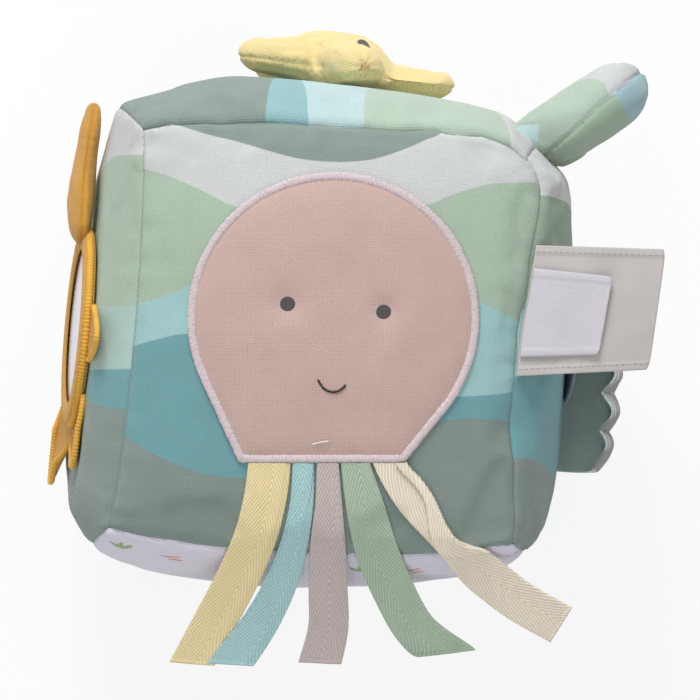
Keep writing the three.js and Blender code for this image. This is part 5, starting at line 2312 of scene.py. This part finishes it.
@dataclass
class ShellFlap(SubAssembly):
    """Scalloped flap of two cloths round a crinkling film, over a round patch."""

    y: float = -12.0
    hinge_z: float = 46.0
    root_rise: float = 0.6
    angle: float = 18.0
    length: float = 46.0
    root_half: float = 32.0
    half: float = 33.0
    cup: float = 7.0
    lip: float = -2.0
    rib: float = 1.5
    ruffle: float = 0.9
    columns: int = 120
    rows: int = 60
    scallops: int = 5
    scallop_depth: float = 4.0
    fabric: float = 0.9
    film: float = 0.4
    gap: float = 0.3
    rib_stitches: int = 18
    patch_y: float = -8.0
    patch_z: float = 84.0
    patch_radius: float = 13.0
    patch_rise: float = 1.0
    patch_lean: float = 2.6
    patch_cloth: float = 0.7
    patch_stitches: int = 52

    def __post_init__(self) -> None:
        """Works out the flap's own frame and how its root follows the cover."""
        self.hinge = self.form.over(Face.RIGHT, self.y, self.hinge_z) + RIGHT * self.root_rise
        tilt = math.radians(self.angle)
        self.way = Vector((math.sin(tilt), 0, math.cos(tilt)))
        self.out = Vector((math.cos(tilt), 0, -math.sin(tilt)))
        axes = Matrix((self.way, Vector((0, -1, 0)), self.out)).transposed()
        self.matrix = Matrix.Translation(self.hinge) @ axes.to_4x4()
        self.roots = []
        for step in range(self.columns + 1):
            y = self.y - (2 * step / self.columns - 1) * self.root_half
            self.roots.append(self.surface.at(Face.RIGHT, y, self.hinge_z).x + self.root_rise - self.hinge.x)

    def spot(self, u: float, v: float, height: float) -> Vector:
        """A place on the flap.

        Args:
            u: share along it, from its root.
            v: share across it.
            height: how far up through its layers.

        Returns:
            The point, in the block's frame.
        """
        side = 2 * v - 1
        half = lerp(self.root_half, self.half, math.sin(math.pi / 2 * min(1.0, u * 1.15))) * (1 - 0.1 * u * u)
        scallop = abs(math.cos(math.pi / 2 * self.scallops * side))
        along = u * (self.length * (1 - 0.22 * side * side) + self.scallop_depth * (scallop * u - 1))
        height += self.cup * (1 - 0.5 * side * side) * math.sin(math.pi * u ** 0.8) + self.lip * u ** 3
        height += self.rib * scallop * smoothstep(u, 0.15, 0.7) + self.ruffle * ripple(u * 3, v * 9, 1.0) * u
        height += self.roots[round(v * self.columns)] * (1 - u) ** 2
        return self.matrix @ Vector((along, side * half, height))

    def layer(self, name: str, level: float, thickness: float, finish: str, slot: str, node: str) -> None:
        """Makes one layer of the flap.

        Args:
            name: the piece's name.
            level: the height of its underside in the flap.
            thickness: its thickness.
            finish: its finish's name.
            slot: not used.
            node: the node that it replaces.
        """
        mesh = shaped_grid(self.rows, self.columns, lambda u, v: self.spot(u, v, level + thickness),
                           lambda u, v: (v * 2 * self.half, u * self.length), weld=0)
        piece = self.make_sheet(mesh, name, finish, slot, [node], None, thickness, self.out)
        blend_mm(piece, self.hinge)

    def stitching(self) -> None:
        """Makes the pale ribs of stitches that run out to each scallop, and the rim's piping."""
        top = 2 * self.fabric + self.film + 2 * self.gap
        threads = []
        for rib in range(1, self.scallops):
            for step in range(self.rib_stitches):
                low, high = (self.spot(0.3 + 0.036 * (step + shift), rib / self.scallops, top + 0.1)
                             for shift in (0.15, 0.85))
                threads.append(stitch(low, high, self.out, 0.28))
        self.make(join(threads), "flap_rib_stitches", "white_thread", "flap_fabric", body="shell_flap")
        rim = even_path([self.spot(0.985, step / 400, top / 2) for step in range(401)], 0.3)
        mesh = tube(rim, self.out, lambda k: 0.55 + 0.12 * math.sin(k * 2.1), lambda k: top / 2 + 0.1, jitter=0.1)
        self.make(mesh, "flap_rim_piping", "flap_outside", "flap_fabric", body="shell_flap")

    def patch(self) -> None:
        """Makes the round patch under the flap and its blanket stitches."""
        def place(u: float, v: float) -> Vector:
            """A place on the patch's outside.

            Args:
                u: the first share.
                v: the second share.

            Returns:
                The point, in millimetres.
            """
            y, z = polar(u, self.patch_radius * v)
            lean = self.patch_lean * max(0.0, z / self.patch_radius) ** 1.5
            return self.surface.at(Face.RIGHT, self.patch_y + y, self.patch_z + z) + RIGHT * (self.patch_rise + lean)

        mesh = shaped_grid(72, 12, place, lambda u, v: polar(u, self.patch_radius * v))
        piece = self.make_sheet(mesh, "flap_patch_felt", "patch", "patch_felt", ["flap_patch"], "block",
                                self.patch_cloth, RIGHT)
        stitches = []
        for step in range(self.patch_stitches):
            u, after = step / self.patch_stitches, (step + 1) / self.patch_stitches % 1
            stitches.append(stitch(place(u, 0.84), place(u, 1.0), RIGHT, 0.26, 1.2, 0.15))
            stitches.append(stitch(place(u, 1.0), place(after, 1.0), RIGHT, 0.22, 0.85, 0.15))
        self.make(join(stitches), "flap_patch_stitches", "patch_thread", "patch_felt", body="block")

    def build(self) -> None:
        """Makes the flap and the patch."""
        self.patch()
        level = 0.0
        for name, thickness, finish, slot, node in (
                ("flap_lining_cloth", self.fabric, "flap_lining", "flap_lining", "flap_lining"),
                ("flap_film_sheet", self.film, "crinkle", "crinkle_film", "flap_crinkle_film"),
                ("flap_outer_cloth", self.fabric, "flap_outside", "flap_fabric", "flap_outer")):
            self.layer(name, level, thickness, finish, slot, node)
            level += thickness + self.gap
        self.stitching()


# Labels


@dataclass(frozen=True)
class Label:
    """One label: its flat size, its middle up the seam, its lower and upper far corners, and its grid."""

    length: float
    height: float
    y: float
    corners: Line
    steps: int
    thickness: float
    set_back: float = 0.0


@dataclass
class Labels(SubAssembly):
    """A hemmed label and a small woven label, both bare, in the front right seam."""

    drop: float = 4.0
    seam_gap: float = 0.4
    seam_rise: float = 0.3
    corner_round: float = 0.9
    hem: float = 2.6
    hem_rise: float = 0.32
    hem_stitches: int = 22
    fold: float = 2.4
    fold_rise: float = 0.28

    CARE = Label(41.0, 39.0, 7.2, ((96.9, -10.4), (101.9, 25.6)), 80, 0.45)
    WOVEN = Label(25.0, 26.5, 6.6, ((81.5, -6.0), (85.7, 17.4)), 56, 0.5, 0.5)

    def root(self, label: Label) -> list[Vector]:
        """A label's edge in the seam, from its lower end to its upper one.

        Args:
            label: the label.

        Returns:
            The edge's points.
        """
        heights = (label.y + label.height * (step / label.steps - 0.5) for step in range(label.steps + 1))
        shift = Vector((self.seam_gap + label.set_back, 0, self.seam_rise))
        return [self.form.over(Face.FRONT, self.form.width, height) + shift for height in heights]

    def spot(self, label: Label, root: Sequence[Vector], u: float, v: float) -> Vector:
        """A place on a label between its seam and its far corners.

        Args:
            label: the label.
            root: its edge in the seam.
            u: share out from the seam.
            v: share up the seam.

        Returns:
            The point, on the label's middle.
        """
        start = root[round(v * label.steps)]
        (low_x, low_y), (high_x, high_y) = label.corners
        end = Vector((lerp(low_x, high_x, v), lerp(low_y, high_y, v)))
        fall = math.tan(math.radians(self.drop)) * (end.x - start.x) * u
        rounding = self.corner_round * (abs(2 * v - 1) ** 14) * u ** 14
        return Vector((lerp(start.x, end.x, u) - rounding, lerp(start.y, end.y, u), start.z - fall))

    def cloth(self, label: Label, node: str, finish: str, place: Place) -> Piece:
        """Makes a label's cloth.

        Args:
            label: the label.
            node: the node that it replaces.
            finish: its finish's name.
            place: the point at two shares.

        Returns:
            The piece.
        """
        mesh = shaped_grid(label.steps, label.steps, place, lambda u, v: (u * label.length, v * label.height), weld=0)
        return self.make_sheet(mesh, f"{node}_cloth", finish, node, [node], None, label.thickness)

    def care(self) -> None:
        """Makes the hemmed label, with its hem's stitches."""
        label = self.CARE
        root = self.root(label)

        def place(u: float, v: float) -> Vector:
            """A place on the label's upper side.

            Args:
                u: the first share.
                v: the second share.

            Returns:
                The point, in millimetres.
            """
            point = self.spot(label, root, u, v)
            hem = self.hem_rise * smoothstep(self.hem - min(v, 1 - v) * label.height, -0.25, 0.25)
            wave = (0.7 * math.sin(u * 4 + 1.2 * v) + 0.5 * ripple(u * 3, v * 3, 3)) * smoothstep(u, 0.05, 0.5)
            point.z += 0.15 + hem + wave - 1.6 * u * u * (1 - v) ** 2
            return point

        piece = self.cloth(label, "care_label", "care", place)
        line = (self.hem - 0.5) / label.height
        threads = [stitch(place((step + 0.15) / self.hem_stitches, v), place((step + 0.85) / self.hem_stitches, v),
                          UP, 0.14, lift=0.02)
                   for v in (line, 1 - line) for step in range(self.hem_stitches)]
        thread = self.make(join(threads), "care_label_stitches", "care_thread", "care_label")
        middle = root[label.steps // 2]
        for part in (piece, thread):
            blend_mm(part, middle)

    def woven(self) -> None:
        """Makes the small woven label with folded edges."""
        label = self.WOVEN
        root = self.root(label)

        def place(u: float, v: float) -> Vector:
            """A place on the label's upper side.

            Args:
                u: the first share.
                v: the second share.

            Returns:
                The point, in millimetres.
            """
            point = self.spot(label, root, u, v)
            edge = min(v, 1 - v) * label.height
            fold = self.fold_rise * smoothstep(self.fold - edge, -0.2, 0.2) - 0.3 * math.exp(-edge / 0.3)
            point.z += 1.1 + fold + 0.45 * math.sin(u * 5 + 0.8) * smoothstep(u, 0.1, 0.6) + 0.9 * u
            return point

        piece = self.cloth(label, "woven_label", "woven", place)
        middle = root[label.steps // 2]
        blend_mm(piece, middle)

    def build(self) -> None:
        """Makes both labels."""
        self.care()
        self.woven()


# Grab tab


@dataclass
class GrabTab(SubAssembly):
    """Stuffed tab of two printed faces with a seam all round."""

    start: float = -4.5
    tip: float = 39.7
    half_width: float = 16.5
    angle: float = 35.0
    below_front: float = 31.0
    swell_cap: float = 0.5
    pinned: float = 10.0
    groove: float = 0.8
    pucker: float = 0.35
    lump: float = 0.35
    upper: Line = ((-4.5, 6.5), (-3, 8.9), (0, 9.4), (8, 9.3), (15.7, 9.0), (22.9, 9.3), (28, 9.2), (32.2, 8.4),
                   (36.5, 6.0), (38.7, 3.0), (39.7, -1.0))
    lower: Line = ((-4.5, -4.4), (-2, -6.4), (0, -7.9), (3.7, -9.7), (7.8, -10.4), (12.4, -10.3), (22.2, -10.6),
                   (29, -10.4), (33.7, -9.0), (37, -6.6), (38.9, -3.7), (39.7, -1.0))
    seam: Line = ((-4.5, -4.2), (3.7, -3.6), (12.4, -2.9), (19.9, -1.6), (27, -0.8), (33.6, 0.0), (39.7, 0.2))

    def __post_init__(self) -> None:
        """Works out the tab's own frame: +X along it and +Z towards the octopus."""
        self.root = self.form.edge("front_high_right", "back_high_right", self.below_front / self.form.depth)
        self.matrix = Matrix.Translation(self.root) @ Matrix.Rotation(math.radians(self.angle), 4, "Z")
        self.back = self.matrix.inverted()

    def place(self, u: float, v: float) -> Vector:
        """A place on the tab's skin, along it and round it.

        Args:
            u: the first share.
            v: the second share.

        Returns:
            The point, in the tab's frame.
        """
        along = lerp(self.start, self.tip, u)
        high, low = line_height(self.upper, along), line_height(self.lower, along)
        side, across = polar(v, 1.0)
        half = (high - low) / 2 if 0 < u < 1 else 0.0
        wide = self.half_width * math.sqrt(max(0.0, 1 - smoothstep(u, 0.62, 1.0) ** 2.2))
        wide *= lerp(0.62, 1.0, smoothstep(u, 0.0, 0.35)) if u > 0 else 0.0
        return Vector((along, (high + low) / 2 + half * rounded(side, 0.75), wide * across))

    def above_seam(self, local: Vector) -> float:
        """How far a place lies above the seam between the two cloths."""
        return local.y - line_height(self.seam, local.x)

    def build(self) -> None:
        """Makes the tab."""
        mesh = shaped_grid(64, 64, self.place, lambda u, v: (u * 40, v * 90))
        bmesh.ops.transform(mesh, matrix=self.matrix, verts=mesh.verts)
        piece = to_object(mesh, "grab_tab_plush")
        swell(piece, lambda spot: self.swell_cap if (spot - self.root).length > self.pinned else 0.0)
        refine(piece)
        for finish in ("tab_upper", "tab_lower"):
            piece.data.materials.append(self.finishes.get(finish))
        for facet in piece.data.polygons:
            facet.material_index = 0 if self.above_seam(self.back @ (facet.center / MM)) > 0 else 1
        bands = [(piece.data.attributes.new(f"band_{number}", "FLOAT", "POINT"), []) for number in (1, 2)]

        def sewn(place: Vector, normal: Vector) -> Vector:
            """The skin's place with its seam drawn in, noting how far it lies from each band.

            Args:
                place: a place, in millimetres.
                normal: the way it faces there.

            Returns:
                The point, in millimetres.
            """
            local = self.back @ place
            level = self.above_seam(local)
            rim = smoothstep(abs(local.z), 5.0, 10.0) if local.x < 33 else 1.0
            pucker = self.pucker * ripple(local.x / 0.8, math.copysign(4, local.z)) * bell(level, 2.2) * rim
            up = local.y - 4.9
            bands[0][1].append(local.x - (26.4 - 0.115 * (level - 4) ** 2 if level > 0 else 27.0))
            bands[1][1].append(local.x - (min(3.6 + up * 0.84, 3.6 - up * 1.6) if level > 0 else -50))
            height = pucker - self.groove * bell(level, 0.6) * rim + self.lump * ripple(*(local / 8))
            return place + normal * height

        reshape(piece, sewn)
        for number, (_, values) in enumerate(bands, 1):
            piece.data.attributes[f"band_{number}"].data.foreach_set("value", values)
        self.dress(piece, "tab_upper", "jersey_print", ["grab_tab"])
        blend_mm(piece, self.root)


# Stage


@dataclass
class Stage:
    """Plain floor, soft light and the camera, straight above the octopus."""

    camera_place: tuple[float, float, float] = (7.5, -4.5, 1137.0)
    focal_pixels: float = 3350.0
    image_pixels: int = 700
    sensor: float = 36.0
    floor_half: float = 2500.0
    floor_tone: float = 0.9
    floor_glow: float = 0.82
    world_seen: float = 0.58
    world_light: float = 0.42
    lamp_aim: tuple[float, float, float] = (0.0, 0.0, 80.0)

    LAMPS = (("key", (-150, 950, 750), 450, 10.6), ("fill", (300, 100, 1000), 700, 0.9),
             ("low", (-150, -700, 800), 600, 2.5))

    def add(self, name: str, data: bpy.types.ID, place: Sequence[float]) -> Piece:
        """Adds a camera or a lamp at a place in millimetres.

        Args:
            name: its name.
            data: the camera's or the lamp's data.
            place: its place, in millimetres.

        Returns:
            The camera or the lamp.
        """
        item = bpy.data.objects.new(name, data)
        item.location = Vector(place) * MM
        bpy.context.scene.collection.objects.link(item)
        return item

    def camera(self) -> None:
        """Makes the camera."""
        data = bpy.data.cameras.new("camera")
        data.sensor_width = self.sensor
        data.lens = self.focal_pixels / self.image_pixels * self.sensor
        bpy.context.scene.camera = self.add("camera", data, self.camera_place)

    def floor(self) -> None:
        """Makes the floor, white to the camera, in reflections and through film, with the block's shadow on it."""
        mesh = bmesh.new()
        bmesh.ops.create_grid(mesh, x_segments=2, y_segments=2, size=self.floor_half)
        floor = to_object(mesh, "floor")
        nodes = Nodes("floor_white")
        nodes.surface(Base_Color=(*(self.floor_tone,) * 3, 1), Roughness=1.0, Specular_IOR_Level=0.0)
        path = nodes.new("LightPath").outputs
        seen = nodes.math("ADD", path["Is Camera Ray"], path["Is Glossy Ray"])
        seen = nodes.math("ADD", seen, path["Is Transmission Ray"], clamp=True)
        blend = nodes.new("MixShader", Fac=nodes.scaled(seen, self.floor_glow))
        nodes.feed(blend.inputs[1], nodes.shader.outputs[0])
        nodes.feed(blend.inputs[2], nodes.new("Emission").outputs[0])
        nodes.feed(nodes.tree.nodes["Material Output"].inputs["Surface"], blend.outputs[0])
        floor.data.materials.append(nodes.owner)

    def light(self) -> None:
        """Makes the soft world and the lamps."""
        world = Nodes("studio", world=True)
        bpy.context.scene.world = world.owner
        path = world.new("LightPath").outputs
        shown = world.math("MAXIMUM", path["Is Camera Ray"], path["Is Glossy Ray"])
        world.surface(Color=(1, 1, 1, 1), Strength=world.scaled(shown, self.world_seen, self.world_light))
        for name, place, size, power in self.LAMPS:
            lamp = bpy.data.lights.new(name, "AREA")
            lamp.size = size * MM
            lamp.energy = power
            aim = Vector(self.lamp_aim) - Vector(place)
            self.add(name, lamp, place).rotation_euler = aim.to_track_quat("-Z", "Y").to_euler()

    def build(self) -> None:
        """Makes the stage."""
        self.camera()
        self.floor()
        self.light()
        bpy.context.scene.view_settings.view_transform = "Standard"


def main() -> None:
    """Builds the block, piece by piece."""
    logging.basicConfig(level=logging.INFO, format="%(relativeCreated)d ms %(message)s")
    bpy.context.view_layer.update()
    Stage().build()
    form, finishes = BlockForm(), Finishes()
    surface = Cover(form, finishes).build()
    for part in (Filling, Rattle, Octopus, TapeLegs, Starfish, StarMirror, ShellFlap, Labels, GrabTab):
        part(form, finishes, surface).build()


if __name__ == "__main__":
    main()
